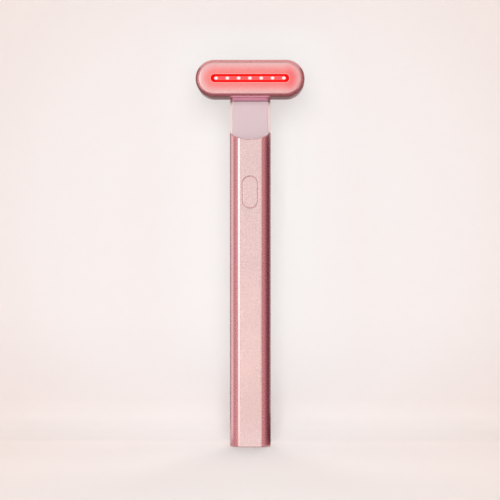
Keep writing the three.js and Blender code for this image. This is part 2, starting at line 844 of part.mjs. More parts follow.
function treatmentPlate() {
  const plateOutline = (inset) => headOutline(inset + rimWidth + plateGap);
  const plate = outlineLoft(plateOutline, [
    { at: plateBack, inset: 0 },
    ...roundedEdge(plateFront, -plateEdgeRadius, plateEdgeRadius).reverse(),
  ]);
  return cut(plate, prism(pillOutline(slotLength, slotWidth), plateBack - overrun, plateFront + overrun));
}

function heaterFilm() {
  const low = plateBack - filmThickness;
  const sheet = prism(pillOutline(filmLength, filmWidth), low, plateBack);
  const opening = prism(
    pillOutline(windowFlangeLength + filmGap * 2, windowFlangeWidth + filmGap * 2),
    low - overrun,
    plateBack + overrun,
  );
  const notchLow = windowFlangeWidth / 2;
  const half = filmNotchWidth / 2;
  const notch = block(-half, half, notchLow, filmWidth, low - overrun, plateBack + overrun);
  return cut(sheet, opening, notch);
}

function lightWindow() {
  const flange = prism(
    pillOutline(windowFlangeLength, windowFlangeWidth),
    windowBack,
    windowBack + windowFlangeThickness,
  );
  const faceOutline = pillOutline(slotLength, slotWidth, windowGap);
  const face = prism(faceOutline, windowBack, plateFront - windowRecessDepth);
  return join(flange, face);
}

function lampPlaces() {
  return Array.from({ length: lampCount }, (unused, step) => (step - (lampCount - 1) / 2) * lampPitch);
}

// The white bar between the board and the window, with one flared cell for each lamp.
function ledReflector() {
  const high = windowBack - windowSeatGap;
  const bar = prism(pillOutline(windowFlangeLength, windowFlangeWidth), lightBoardFront, high);
  const cells = lampPlaces().map((place) => {
    const low = lightBoardFront - weldDepth;
    const cell = rodZ(cellBackRadius, low, high + weldDepth, smallRoundSteps, cellFrontRadius);
    return cell.translate([place, 0, 0]);
  });
  return cut(bar, ...cells);
}

function ledBoard() {
  const board = prism(headOutline(headWall + lightBoardGap), lightBoardBack, lightBoardFront);
  const holes = [-headScrewOffset, headScrewOffset].map((offset) => {
    const hole = rodZ(
      headScrewRadius + headScrewGap,
      lightBoardBack - overrun,
      lightBoardFront + overrun,
      smallRoundSteps,
    );
    return hole.translate([offset, 0, 0]);
  });
  return cut(board, ...holes);
}

function lamp(place) {
  const baseTop = lightBoardFront + lampBaseHeight;
  const halfLength = lampLength / 2;
  const halfWidth = lampWidth / 2;
  const base = block(-halfLength, halfLength, -halfWidth, halfWidth, lightBoardFront, baseTop);
  const dome = new THREE.SphereGeometry(lampDomeRadius, smallRoundSteps, smallRoundSteps / 2);
  dome.scale(1, 1, lampDomeHeight / lampDomeRadius);
  dome.translate(0, 0, baseTop);
  return join(base, solidOf(dome)).translate([place, 0, 0]);
}

// A leaf with a foot on the board, a slanting leg and a flat top under the plate.
function plateContact() {
  const low = lightBoardFront;
  const high = plateBack - contactGap;
  const strip = contactThickness;
  const shape = new THREE.Shape();
  shape.moveTo(0, low);
  shape.lineTo(contactReach, low);
  shape.lineTo(strip * 2, high - strip);
  shape.lineTo(contactReach, high - strip);
  shape.lineTo(contactReach, high);
  shape.lineTo(0, high);
  shape.lineTo(contactReach - strip * 2, low + strip);
  shape.lineTo(0, low + strip);
  shape.closePath();
  const geometry = new THREE.ExtrudeGeometry(shape, { depth: contactWidth, bevelEnabled: false });
  geometry.translate(0, 0, -contactWidth / 2);
  const toHead = new THREE.Matrix4();
  toHead.set(
    0, 0, 1, 0,
    1, 0, 0, contactLow,
    0, 1, 0, 0,
    0, 0, 0, 1,
  );
  geometry.applyMatrix4(toHead);
  return solidOf(geometry);
}

function headScrew(offset) {
  const top = headScrewSeat + headScrewHeadHeight;
  const cap = rodZ(headScrewHeadRadius, headScrewSeat, top, smallRoundSteps);
  const low = headScrewSeat - headScrewLength;
  const shank = rodZ(headScrewRadius, low, headScrewSeat + weldDepth, smallRoundSteps);
  return join(cap, shank).translate([offset, 0, 0]);
}

function motorCan() {
  const can = rodX(motorRadius, motorEndDistance - motorLength, motorEndDistance);
  const wellLow = motorEndDistance - shaftInLength - shaftGap;
  const well = rodX(shaftRadius + shaftGap, wellLow, motorEndDistance + overrun, smallRoundSteps);
  return cut(can, well).translate([0, 0, -motorDepth]);
}

function motorBoot() {
  const high = motorEndDistance - bootEndDistance;
  const low = high - bootLength;
  const body = block(low, high, -bootHalf, bootHalf, -motorDepth - bootHalf, -motorDepth + bootHalf);
  const bore = rodX(motorRadius + bootGap, low - overrun, high + overrun);
  return cut(body, bore.translate([0, 0, -motorDepth]));
}

function motorShaft() {
  const low = motorEndDistance - shaftInLength;
  return rodX(shaftRadius, low, low + shaftLength, smallRoundSteps).translate([0, 0, -motorDepth]);
}

// Half a disc that hangs to one side of the shaft, with a hub round the shaft.
function eccentricWeight() {
  const low = motorEndDistance + weightEndGap;
  const high = low + weightLength;
  const disc = rodX(weightRadius, low, high);
  const hub = rodX(shaftRadius + weightHubWall, low, high, smallRoundSteps);
  const upper = block(low - overrun, high + overrun, 0, weightRadius + overrun, -weightRadius, weightRadius);
  const half = cut(disc, upper);
  const bore = rodX(shaftRadius + weightGap, low - overrun, high + overrun, smallRoundSteps);
  return cut(join(half, hub), bore).translate([0, 0, -motorDepth]);
}

// Handle and everything inside it
const handle = new THREE.Group();
handle.add(
  piece('handle_tube', handleTube(), 'roseMetal'),
  piece('end_cap', endCap(), 'roseMetal'),
  piece('charging_port_shell', portShell(), 'steel'),
  piece('charging_port_tongue', portTongue(), 'blackPlastic'),
  piece('port_board', portBoard(), 'circuit'),
  piece('chassis', chassis(), 'greyPlastic'),
  piece('battery', battery(), 'cellWrap'),
  piece('main_board', mainBoard(), 'circuit'),
  piece('board_screw_lower', boardScrew(lowerScrewHeight), 'steel'),
  piece('board_screw_upper', boardScrew(upperScrewHeight), 'steel'),
  piece('controller_chip', controllerChip(), 'blackPlastic'),
  piece('head_connector', headConnector(), 'whitePlastic'),
  piece('switch_body', switchBody(), 'blackPlastic'),
  piece('switch_plunger', switchPlunger(), 'whitePlastic'),
  piece('power_button', powerButton(), 'roseMetal'),
);

// Neck and swivel
const neck = new THREE.Group();
neck.add(
  piece('neck_housing', neckHousing(), 'neckPink'),
  piece('swivel_collar', swivelCollar(), 'roseDark'),
  piece('friction_ring', frictionRing(), 'darkRubber'),
  piece('thrust_washer', thrustWasher(), 'steel'),
  piece('retaining_nut', retainingNut(), 'steel'),
  piece('swivel_pivot', swivelPivot(), 'steel'),
);

// Light head, turned so that its thickness runs from the back to the treatment face
const head = new THREE.Group();
head.position.z = headCentre;
head.rotation.x = Math.PI / 2;
head.add(
  piece('head_back_housing', headBackHousing(), 'roseMetal'),
  piece('head_front_frame', headFrontFrame(), 'roseMetal'),
  piece('treatment_plate', treatmentPlate(), 'platePink'),
  piece('heater_film', heaterFilm(), 'film'),
  piece('light_window', lightWindow(), 'redLens'),
  piece('led_reflector', ledReflector(), 'whitePlastic'),
  piece('led_board', ledBoard(), 'circuit'),
  piece('plate_contact', plateContact(), 'steel'),
  piece('head_screw_left', headScrew(-headScrewOffset), 'steel'),
  piece('head_screw_right', headScrew(headScrewOffset), 'steel'),
  piece('motor_can', motorCan(), 'steel'),
  piece('motor_boot', motorBoot(), 'darkRubber'),
  piece('motor_shaft', motorShaft(), 'steel'),
  piece('eccentric_weight', eccentricWeight(), 'steel'),
);
lampPlaces().forEach((place, step) => head.add(piece(`led_${step + 1}`, lamp(place), 'lamp')));

const wand = new THREE.Group();
wand.add(handle, neck, head);

export default wand;
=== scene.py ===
"""Red light facial wand: fine surfaces, finishes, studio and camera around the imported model.

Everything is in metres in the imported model's own frame: +Z up the handle, -Y towards the viewer.
"""
import math

import bmesh
import bpy
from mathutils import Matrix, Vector

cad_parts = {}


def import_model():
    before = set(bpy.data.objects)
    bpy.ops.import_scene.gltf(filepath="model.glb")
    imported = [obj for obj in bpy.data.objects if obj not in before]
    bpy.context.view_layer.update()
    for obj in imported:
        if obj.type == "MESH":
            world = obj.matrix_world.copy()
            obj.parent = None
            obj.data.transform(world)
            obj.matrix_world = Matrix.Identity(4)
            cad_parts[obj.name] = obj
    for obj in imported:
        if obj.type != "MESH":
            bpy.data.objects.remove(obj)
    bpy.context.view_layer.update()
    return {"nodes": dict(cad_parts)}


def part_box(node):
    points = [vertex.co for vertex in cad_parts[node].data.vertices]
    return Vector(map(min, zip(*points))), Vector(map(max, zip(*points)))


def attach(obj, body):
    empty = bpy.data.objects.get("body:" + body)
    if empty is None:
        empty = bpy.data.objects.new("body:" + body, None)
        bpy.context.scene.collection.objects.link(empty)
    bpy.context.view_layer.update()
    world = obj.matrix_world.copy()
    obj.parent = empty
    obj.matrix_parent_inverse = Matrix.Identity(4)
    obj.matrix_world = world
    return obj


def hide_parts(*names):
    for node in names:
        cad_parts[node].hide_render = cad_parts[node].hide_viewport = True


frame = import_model()

MM = 0.001

# Steps on round stretches, and the sizes of the rings across the neck's shoulder
PILL_STEPS = 48
FLANK_STEPS = 40
CREASE_STEPS = 8
FLAT_STEPS = 24
FILLET_STEPS = 6
BROAD_STEPS = 16
ROUND_STEPS = 64
SHOULDER_SHARES = (0.94, 0.82, 0.66, 0.48, 0.3, 0.14)

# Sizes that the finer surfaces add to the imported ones
EDGE_FILLET = 0.12 * MM
SEAM_FILLET = 0.08 * MM
HANDLE_CREASE = 1.25 * MM
NECK_CREASE = 0.5 * MM
LEAST_CREASE = 0.3 * MM
OVERRUN = 2 * MM

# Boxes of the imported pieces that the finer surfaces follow
tube_low, tube_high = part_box("handle_tube")
cap_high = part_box("end_cap")[1]
neck_low, neck_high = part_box("neck_housing")
collar_low, collar_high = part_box("swivel_collar")
key_low, key_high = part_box("power_button")
port_low, port_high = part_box("charging_port_shell")
tongue_low, tongue_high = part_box("charging_port_tongue")
rear_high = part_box("head_back_housing")[1]
rim_low, rim_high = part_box("head_front_frame")
plate_low, plate_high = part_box("treatment_plate")
lens_low, lens_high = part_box("light_window")
LAMP_NUMBERS = range(1, 8)
lamp_boxes = [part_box(f"led_{number}") for number in LAMP_NUMBERS]

# Handle, cap, neck and collar
HANDLE_RADIUS = tube_high.x
HANDLE_FLAT = -tube_low.y
HANDLE_WALL = 1.2 * MM
SCOOP_RADIUS = 17 * MM
SCOOP_RISE = 0.15
SCOOP_LOW = 131.1 * MM
SEAM_GAP = 0.1 * MM
NECK_DIP = 0.9 * MM
NECK_DIP_INNER = 6.2 * MM
NECK_DIP_OUTER = 7.3 * MM
SHOULDER_STEP = 0.3 * MM
SHOULDER_WALL = 2.5 * MM
SPIGOT_INSET = 1.35 * MM
CAP_HEIGHT = tube_low.z
CAP_EDGE = 0.45 * MM
CAP_SEAM_FILLET = 0.04 * MM
CAP_LIP_WALL = 1 * MM
COLLAR_INSET = 0.1 * MM
COLLAR_LIFT = 0.16 * MM
COLLAR_TOP_EDGE = 0.05 * MM
NECK_FLAT = collar_high.y + COLLAR_INSET
NECK_TOP = neck_high.z
NECK_BORE_RADIUS = 5.2 * MM
PIVOT_HOLE_RADIUS = 2.55 * MM
RING_SEAT_RADIUS = 3.5 * MM
RING_SEAT_DEPTH = 0.9 * MM

# Button
KEY_WIDTH = 6.3 * MM
KEY_LENGTH = 13.4 * MM
KEY_GAP = 0.3 * MM
KEY_EDGE = 0.22 * MM
SLOT_EDGE = 0.15 * MM
KEY_CENTRE = (key_low.z + key_high.z) / 2
KEY_FLANGE_WIDTH = key_high.x - key_low.x
KEY_FLANGE_LENGTH = key_high.z - key_low.z
KEY_FLANGE_GAP = 0.1 * MM
KEY_FLANGE_THICKNESS = 0.7 * MM
KEY_FLANGE_FRONT = HANDLE_FLAT - HANDLE_WALL - KEY_FLANGE_GAP
KEY_FLANGE_BACK = KEY_FLANGE_FRONT - KEY_FLANGE_THICKNESS
KEY_STEM_RADIUS = 1.6 * MM
KEY_STEM_OVERLAP = 0.1 * MM

# Charging port
PORT_WIDTH = port_high.x - port_low.x
PORT_DEPTH = port_high.y - port_low.y
PORT_GAP = 0.15 * MM
PORT_WALL = 0.3 * MM
PORT_BACK_WALL = 0.6 * MM
PORT_EDGE = 0.1 * MM
PORT_HOLE_EDGE = 0.2 * MM

# Head
HEAD_WIDTH = rim_high.x - rim_low.x
HEAD_HEIGHT = rim_high.z - rim_low.z
HEAD_CENTRE = (rim_high.z + rim_low.z) / 2
HEAD_WALL = 1.5 * MM
HEAD_FRONT = 9.5 * MM
HEAD_BACK = rear_high.y
HEAD_SEAM = 4.5 * MM
RIM_WIDTH = 1.5 * MM
RIM_NARROWING = 0.15 * MM
RIM_EDGE = 1.9 * MM
RIM_EDGE_START = math.radians(50)
LEDGE_INSET = 2.7 * MM
LEDGE_THICKNESS = 0.8 * MM
LIP_INSET = 0.9 * MM
LIP_HEIGHT = 1 * MM
BACK_EDGE = 4.2 * MM
BACK_EDGE_INSET = 3.6 * MM
HOLLOW_EDGE = 3 * MM
HOLLOW_EDGE_INSET = 2.6 * MM
PLATE_GROWTH = 0.13 * MM
PLATE_LENGTH = plate_high.x - plate_low.x + PLATE_GROWTH * 2
PLATE_WIDTH = plate_high.z - plate_low.z + (PLATE_GROWTH + RIM_NARROWING) * 2
PLATE_FRONT = -plate_low.y
PLATE_BACK = -plate_high.y
PLATE_EDGE = 0.3 * MM
PLATE_EDGE_INSET = 0.9 * MM
SLOT_LENGTH = 33.5 * MM
SLOT_WIDTH = 3.5 * MM
LENS_GAP = 0.12 * MM
LENS_FRONT = -lens_low.y
LENS_BACK = -lens_high.y
LENS_FLANGE_LENGTH = lens_high.x - lens_low.x
LENS_FLANGE_WIDTH = lens_high.z - lens_low.z
LENS_FLANGE_THICKNESS = 0.65 * MM
LENS_FLANGE_FRONT = LENS_BACK + LENS_FLANGE_THICKNESS
LENS_EDGE = 0.2 * MM


# Outlines

def arc(centre_x, centre_y, radius, start, end, steps):
    """Points of an arc, both ends included."""
    angles = [start + (end - start) * step / steps for step in range(steps + 1)]
    return [(centre_x + radius * math.cos(a), centre_y + radius * math.sin(a)) for a in angles]


def circle(radius):
    return arc(0, 0, radius, 0, math.tau * (ROUND_STEPS - 1) / ROUND_STEPS, ROUND_STEPS - 1)


def pill(length, width, inset=0.0):
    """A pill lying along the first axis."""
    straight = (length - width) / 2
    radius = width / 2 - inset
    quarter = math.pi / 2
    right = arc(straight, 0, radius, -quarter, quarter, PILL_STEPS)
    left = arc(-straight, 0, radius, quarter, quarter * 3, PILL_STEPS)
    return right + left


def upright(points):
    return [(-v, u) for u, v in points]


def flatted(flat_depth, inset, crease):
    """The handle's circle with a flat in front and one behind, and softened creases."""
    radius = HANDLE_RADIUS - inset
    flat = flat_depth - inset
    crease = max(crease - inset, LEAST_CREASE)
    crease_x = math.sqrt((radius - crease) ** 2 - (flat - crease) ** 2)
    turn = math.atan2(flat - crease, crease_x)
    quarter = arc(0, 0, radius, 0, turn, FLANK_STEPS)
    quarter += arc(crease_x, flat - crease, crease, turn, math.pi / 2, CREASE_STEPS)[1:]
    quarter += [(crease_x * (1 - step / FLAT_STEPS), flat) for step in range(1, FLAT_STEPS)]
    upper = quarter + [(0.0, flat)] + [(-x, y) for x, y in reversed(quarter)]
    return upper + [(x, -y) for x, y in reversed(upper)][1:-1]


def handle_outline(inset=0.0):
    return flatted(HANDLE_FLAT, inset, HANDLE_CREASE)


def neck_outline(inset=0.0):
    return flatted(NECK_FLAT, inset, NECK_CREASE)


def scoop_height(x, y, gap=0.0, drop=0.0):
    """Height of the scooped joint at a point of the section."""
    radius = SCOOP_RADIUS + gap
    rise = radius - math.sqrt(radius ** 2 - x ** 2)
    return SCOOP_LOW - gap + rise + SCOOP_RISE * (y + HANDLE_FLAT) - drop


def fillet(inset, depth=None, steps=FILLET_STEPS):
    """Pairs of inset and distance from the face, from the face round to the side."""
    depth = inset if depth is None else depth
    turns = [math.pi / 2 * step / steps for step in range(steps + 1)]
    return [(inset * (1 - math.sin(turn)), depth * (1 - math.cos(turn))) for turn in turns]


def crown(inset, depth, start):
    """As a fillet, but the curve leaves the face already tilted."""
    turns = [start + (math.pi / 2 - start) * step / BROAD_STEPS for step in range(BROAD_STEPS + 1)]
    return [(inset * (1 - math.sin(turn)) / (1 - math.sin(start)),
             depth * (math.cos(start) - math.cos(turn)) / math.cos(start)) for turn in turns]


# Rings and meshes

def level(points, height):
    """A ring across Z."""
    return [(x, y, height) for x, y in points]


def on_scoop(points, gap=0.0, drop=0.0):
    return [(x, y, scoop_height(x, y, gap, drop)) for x, y in points]


def facing(points, depth, centre):
    """A ring across Y; depth is how far it stands towards the viewer."""
    return [(u, -depth, centre + v) for u, v in points]


def face_ring(length, width, inset, depth):
    return facing(pill(length, width, inset), depth, HEAD_CENTRE)


def head_ring(inset, depth):
    return face_ring(HEAD_WIDTH, HEAD_HEIGHT, inset, depth)


def rim_ring(inset, depth):
    """As a head ring, but the rim narrows above and below the plate."""
    spare = RIM_NARROWING * inset / RIM_WIDTH
    return face_ring(HEAD_WIDTH, HEAD_HEIGHT + spare * 2, inset, depth)


def skin(rings, torus=False):
    """A closed mesh through rings of points; a torus joins its last ring to its first."""
    mesh = bmesh.new()
    loops = [[mesh.verts.new(point) for point in ring] for ring in rings]
    pairs = list(zip(loops, loops[1:]))
    if torus:
        pairs.append((loops[-1], loops[0]))
    for near, far in pairs:
        for index, corner in enumerate(near):
            following = (index + 1) % len(near)
            mesh.faces.new((corner, near[following], far[following], far[index]))
    if not torus:
        mesh.faces.new(loops[0])
        mesh.faces.new(loops[-1])
    bmesh.ops.recalc_face_normals(mesh, faces=mesh.faces)
    return mesh


def object_from(name, mesh):
    data = bpy.data.meshes.new(name)
    mesh.to_mesh(data)
    mesh.free()
    obj = bpy.data.objects.new(name, data)
    bpy.context.scene.collection.objects.link(obj)
    return obj


def combine(target, mesh, operation):
    """Joins a closed mesh to an object, or cuts it out of it."""
    tool = object_from("tool", mesh)
    modifier = target.modifiers.new("combine", "BOOLEAN")
    modifier.operation = operation
    modifier.solver = "EXACT"
    modifier.object = tool
    bpy.context.view_layer.update()
    evaluated = target.evaluated_get(bpy.context.evaluated_depsgraph_get())
    result = bpy.data.meshes.new_from_object(evaluated)
    target.modifiers.clear()
    before = target.data
    target.data = result
    bpy.data.meshes.remove(before)
    tool_mesh = tool.data
    bpy.data.objects.remove(tool)
    bpy.data.meshes.remove(tool_mesh)


SMOOTH_ANGLE = math.radians(31)
WELD_DISTANCE = 0.0001 * MM
LARGE_FACE_WEIGHT = 100


def smooth(obj):
    """Smooth faces with crisp edges, and flats that stay flat beside their fillets."""
    mesh = bmesh.new()
    mesh.from_mesh(obj.data)
    bmesh.ops.remove_doubles(mesh, verts=mesh.verts, dist=WELD_DISTANCE)
    for face in mesh.faces:
        face.smooth = True
    for edge in mesh.edges:
        edge.smooth = len(edge.link_faces) == 2 and edge.calc_face_angle(0) < SMOOTH_ANGLE
    mesh.to_mesh(obj.data)
    mesh.free()
    weighted = obj.modifiers.new("weighted_normals", "WEIGHTED_NORMAL")
    weighted.mode = "FACE_AREA"
    weighted.keep_sharp = True
    weighted.weight = LARGE_FACE_WEIGHT


def dress(obj, material):
    obj.data.materials.clear()
    obj.data.materials.append(material)


def finish_piece(obj, material, body, slot, *nodes):
    """Takes a new piece into the frame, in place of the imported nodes."""
    smooth(obj)
    dress(obj, material)
    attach(obj, body)
    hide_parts(*nodes)


def carry(material, *nodes):
    """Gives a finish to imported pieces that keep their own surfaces."""
    for node in nodes:
        dress(frame["nodes"][node], material)


def rod_z(radius, low, high):
    return skin([level(circle(radius), height) for height in (low, high)])


# Node helpers

def connect(value, socket):
    if isinstance(value, bpy.types.NodeSocket):
        socket.id_data.links.new(value, socket)
    else:
        socket.default_value = value


def feed(node, **inputs):
    """Sets inputs by name, with _ for a space, to values or to other nodes' sockets."""
    for name, value in inputs.items():
        connect(value, node.inputs[name.replace("_", " ")])


def tree_of(*values):
    """The node tree of the first socket among the values."""
    return next(value.id_data for value in values if isinstance(value, bpy.types.NodeSocket))


def add(kind, **inputs):
    """A node in the tree of the sockets that it takes in."""
    node = tree_of(*inputs.values()).nodes.new(kind)
    feed(node, **inputs)
    return node


def fill(node, *values):
    """Sets the node's first inputs in their order; returns its first output."""
    for value, socket in zip(values, node.inputs):
        connect(value, socket)
    return node.outputs[0]


def calculate(operation, *values):
    node = tree_of(*values).nodes.new("ShaderNodeMath")
    node.operation = operation
    return fill(node, *values)


def product(first, *others):
    for value in others:
        first = calculate("MULTIPLY", first, value)
    return first


def hypotenuse(first, second):
    squares = calculate("ADD", product(first, first), product(second, second))
    return calculate("SQRT", squares)


def remap(value, from_low, from_high, to_low=0.0, to_high=1.0, kind="SMOOTHSTEP"):
    node = value.id_data.nodes.new("ShaderNodeMapRange")
    node.interpolation_type = kind
    return fill(node, value, from_low, from_high, to_low, to_high)


def between(share, first, second):
    """The value that lies a share of the way from the first to the second."""
    return remap(share, 0.0, 1.0, first, second, "LINEAR")


# The levels between which nearly all of a noise lies
NOISE_LOW = 0.3
NOISE_HIGH = 0.7


def vary(texture, low, high):
    """Spreads a noise over a range of values."""
    return remap(texture, NOISE_LOW, NOISE_HIGH, low, high, "LINEAR")


# A colour mix has sockets for other kinds of value too, so its own go by number
MIX_INPUTS = (0, 6, 7)
MIX_OUTPUT = 2


def blend(factor, first, second):
    node = factor.id_data.nodes.new("ShaderNodeMix")
    node.data_type = "RGBA"
    for value, number in zip((factor, first, second), MIX_INPUTS):
        connect(value, node.inputs[number])
    return node.outputs[MIX_OUTPUT]


def toned(colour, tone):
    """A colour made lighter or darker by a tone."""
    node = tone.id_data.nodes.new("ShaderNodeVectorMath")
    node.operation = "SCALE"
    connect(colour, node.inputs[0])
    connect(tone, node.inputs["Scale"])
    return node.outputs[0]


def srgb(*display):
    """A colour written as 0 to 255 display values, as the linear one that nodes take."""
    shares = [value / 255 for value in display]
    linear = [share / 12.92 if share <= 0.04045 else ((share + 0.055) / 1.055) ** 2.4 for share in shares]
    return (*linear, 1.0)


def coordinates(tree, kind="Object"):
    return tree.nodes.new("ShaderNodeTexCoord").outputs[kind]


def parts(vector):
    """The X, Y and Z of a vector."""
    return add("ShaderNodeSeparateXYZ", Vector=vector).outputs


def flat_share(tree, low, high):
    """1 where a surface faces front or back, 0 where it faces aside."""
    depth_part = parts(coordinates(tree, "Normal"))[1]
    return remap(calculate("ABSOLUTE", depth_part), low, high)


def noise(position, scale, detail=2.0):
    return add("ShaderNodeTexNoise", Vector=position, Scale=scale, Detail=detail).outputs[0]


def bump(shader, height, strength, distance):
    node = add("ShaderNodeBump", Strength=strength, Distance=distance, Height=height)
    feed(shader, Normal=node.outputs[0])


def bare_material(name):
    """A new material with nothing but its output; returns the material, its tree and the output's socket."""
    material = bpy.data.materials.new(name)
    material.use_nodes = True
    tree = material.node_tree
    tree.nodes.clear()
    return material, tree, tree.nodes.new("ShaderNodeOutputMaterial").inputs[0]


def shaded(name):
    """A new material with a Principled surface; returns the material, its tree and the shader."""
    material, tree, output = bare_material(name)
    shader = tree.nodes.new("ShaderNodeBsdfPrincipled")
    connect(shader.outputs[0], output)
    return material, tree, shader


# Finishes

GRAIN_SCALE = 1900
GRAIN_DEPTH = 0.012 * MM
GRAIN_BUMP = 0.13
GRAIN_DARKENING = 0.03
GRAIN_LIGHTENING = 0.025
FLECK_SCALE = 2600
FLECK_CHANCES = (0.82, 0.97)
FLECK_STRENGTH = 0.04
FLECK_COLOUR = (1.0, 0.97, 0.96, 1.0)
CLOUD_SCALE = 55
CLOUD_TONES = (0.985, 1.015)
# How squarely a surface must face front or back to take the flats' painted sheen instead of the sides'
# painted shade
PAINTED_SHEEN_FLATS = (0.825, 0.9)
SIDE_UNEVENNESS = 0.09
FLAT_UNEVENNESS = 0.02


def clouds(position):
    """A tone that changes a little every couple of centimetres."""
    return vary(noise(position, CLOUD_SCALE, 1.0), *CLOUD_TONES)


def anodised(name, flat_colour, side_colour, roughness, grain=1.0):
    """Bead-blasted anodised metal: fine grain and bright flecks; the flats' paler colour is a painted sheen
    and the sides' darker colour painted shade.
    """
    material, tree, shader = shaded(name)
    position = coordinates(tree)
    # Painted sheen on the flats and painted shade on the sides, by which way the surface faces
    flatness = flat_share(tree, *PAINTED_SHEEN_FLATS)
    fine = noise(position, GRAIN_SCALE)
    tone = vary(fine, 1 - GRAIN_DARKENING * grain, 1 + GRAIN_LIGHTENING * grain)
    tone = product(tone, clouds(position))
    colour = toned(blend(flatness, side_colour, flat_colour), tone)
    cells = add("ShaderNodeTexVoronoi", Vector=position, Scale=FLECK_SCALE)
    chance = add("ShaderNodeSeparateColor", Color=cells.outputs["Color"]).outputs[0]
    fleck = remap(chance, *FLECK_CHANCES, 0.0, FLECK_STRENGTH)
    unevenness = between(flatness, SIDE_UNEVENNESS * grain, FLAT_UNEVENNESS * grain)
    swing = product(vary(fine, -0.5, 0.5), unevenness)
    feed(shader, Metallic=1.0, Base_Color=blend(fleck, colour, FLECK_COLOUR),
         Roughness=calculate("ADD", swing, roughness))
    bump(shader, fine, GRAIN_BUMP * grain, GRAIN_DEPTH)
    return material


COAT_FLATS = (0.55, 0.9)
STREAK_SCALE = 1400
STREAK_STRETCH = (1.0, 1.0, 0.08)
STREAK_SHIFT = (0.137, 0.071, 0.019)
STREAK_TONES = (0.99, 1.01)
COAT_UNEVENNESS = 0.03
COAT_BUMP = 0.03
FINE_DEPTH = 0.01 * MM


def satin(name, flat_colour, side_colour, roughness, flat_metallic, heights, painted_top_shading):
    """Smooth satin coat with a faint lengthwise grain and polished metallic sides.

    Between the two heights its tone goes from 1 to the top one: painted shade under the head on the neck,
    painted light on the collar's top.
    """
    material, tree, shader = shaded(name)
    position = coordinates(tree)
    flatness = flat_share(tree, *COAT_FLATS)
    stretched = add("ShaderNodeMapping", Vector=position, Location=STREAK_SHIFT, Scale=STREAK_STRETCH)
    streaks = noise(stretched.outputs[0], STREAK_SCALE)
    # Painted shading towards the top: a top tone below 1 paints shade there, one above 1 paints light
    painted_shading_tone = remap(parts(position)[2], *heights, 1.0, painted_top_shading)
    tone = product(vary(streaks, *STREAK_TONES), clouds(position), painted_shading_tone)
    feed(shader, Base_Color=toned(blend(flatness, side_colour, flat_colour), tone),
         Metallic=between(flatness, 1.0, flat_metallic),
         Roughness=vary(streaks, roughness - COAT_UNEVENNESS, roughness + COAT_UNEVENNESS))
    bump(shader, streaks, COAT_BUMP, FINE_DEPTH)
    return material


PLATE_COLOUR = srgb(234, 191, 190)
PLATE_TONES = (0.96, 1.04)
PLATE_METALLIC = 0.75
PLATE_ROUGHNESS = (0.3, 0.38)
PLATE_BUMP = 0.2
# The slot's red glow, painted into the plate's colour and a faint emission, stronger and wider to the right
PLATE_EMISSION = 0.04
PLATE_EMISSION_COLOUR = (1.0, 0.08, 0.06, 1.0)
GLOW_COLOUR = srgb(240, 138, 136)
GLOW_COLOUR_RIGHT = srgb(241, 116, 120)
GLOW_START = 0.8 * MM
GLOW_REACH = 5.2 * MM
GLOW_REACH_RIGHT = 6.4 * MM
GLOW_RIGHT_PLACES = (14 * MM, 18 * MM)
GLOW_CLOUD_SCALE = 420
GLOW_CLOUD_REACHES = (0.94, 1.06)
# A painted highlight along the slot's edge
SLOT_HIGHLIGHT_REACH = 0.32 * MM
SLOT_HIGHLIGHT_START = 0.192 * MM
SLOT_HIGHLIGHT_STRENGTH = 0.55
SLOT_HIGHLIGHT_COLOUR = srgb(255, 205, 200)


def slot_distance(x, z):
    """Distance outside the light slot's outline, measured across the face."""
    straight = (SLOT_LENGTH - SLOT_WIDTH) / 2
    along = calculate("SUBTRACT", calculate("ABSOLUTE", x), straight)
    along = calculate("MAXIMUM", along, 0.0)
    across = calculate("SUBTRACT", z, HEAD_CENTRE)
    return calculate("SUBTRACT", hypotenuse(along, across), SLOT_WIDTH / 2)


def glowing_plate(name):
    """Satin plate with the slot's red glow painted into its colour and a faint emission: red beside the
    slot, rose at the rim, and a painted highlight along the slot's edge.
    """
    material, tree, shader = shaded(name)
    position = coordinates(tree)
    x, _, z = parts(position)
    distance = slot_distance(x, z)
    fine = noise(position, GRAIN_SCALE)
    rightward = remap(x, *GLOW_RIGHT_PLACES)
    cloud = vary(noise(position, GLOW_CLOUD_SCALE, 1.0), *GLOW_CLOUD_REACHES)
    reach = product(between(rightward, GLOW_REACH, GLOW_REACH_RIGHT), cloud)
    # Painted glow: how strongly the slot's red light is painted at each point
    glow = remap(distance, GLOW_START, reach, 1.0, 0.0)
    colour = blend(glow, PLATE_COLOUR, blend(rightward, GLOW_COLOUR, GLOW_COLOUR_RIGHT))
    # Painted highlight along the slot's edge
    lip = remap(distance, SLOT_HIGHLIGHT_START, SLOT_HIGHLIGHT_REACH, SLOT_HIGHLIGHT_STRENGTH, 0.0)
    colour = blend(lip, colour, SLOT_HIGHLIGHT_COLOUR)
    feed(shader, Base_Color=toned(colour, vary(fine, *PLATE_TONES)),
         Metallic=PLATE_METALLIC, Roughness=vary(fine, *PLATE_ROUGHNESS),
         Emission_Color=PLATE_EMISSION_COLOUR, Emission_Strength=product(glow, PLATE_EMISSION))
    bump(shader, fine, PLATE_BUMP, GRAIN_DEPTH)
    return material


# Sizes and colours of the lens's painted glow
LAMP_SPOT_LENGTH = 1.52 * MM
LAMP_SPOT_WIDTH = 1.18 * MM
SPOT_BLUR = (0.75, 1.3)
SPOT_WHITE = (1.0, 0.96, 0.93, 1.0)
STRIP_HALF_WIDTH = 0.85 * MM
STRIP_BLUR = 0.15
STRIP_RED = (1.0, 0.125, 0.125, 1.0)
BORDER_RED = (0.9, 0.0, 0.0, 1.0)
FLOW_SCALE = 700
LENS_BODY_COLOURS = ((0.07, 0.0, 0.0, 1.0), (0.09, 0.001, 0.001, 1.0))
LENS_EMISSIONS = (0.94, 1.0)
LENS_ROUGHNESS = (0.1, 0.14)
LENS_SPECULAR = 0.06
LENS_BUMP = 0.03


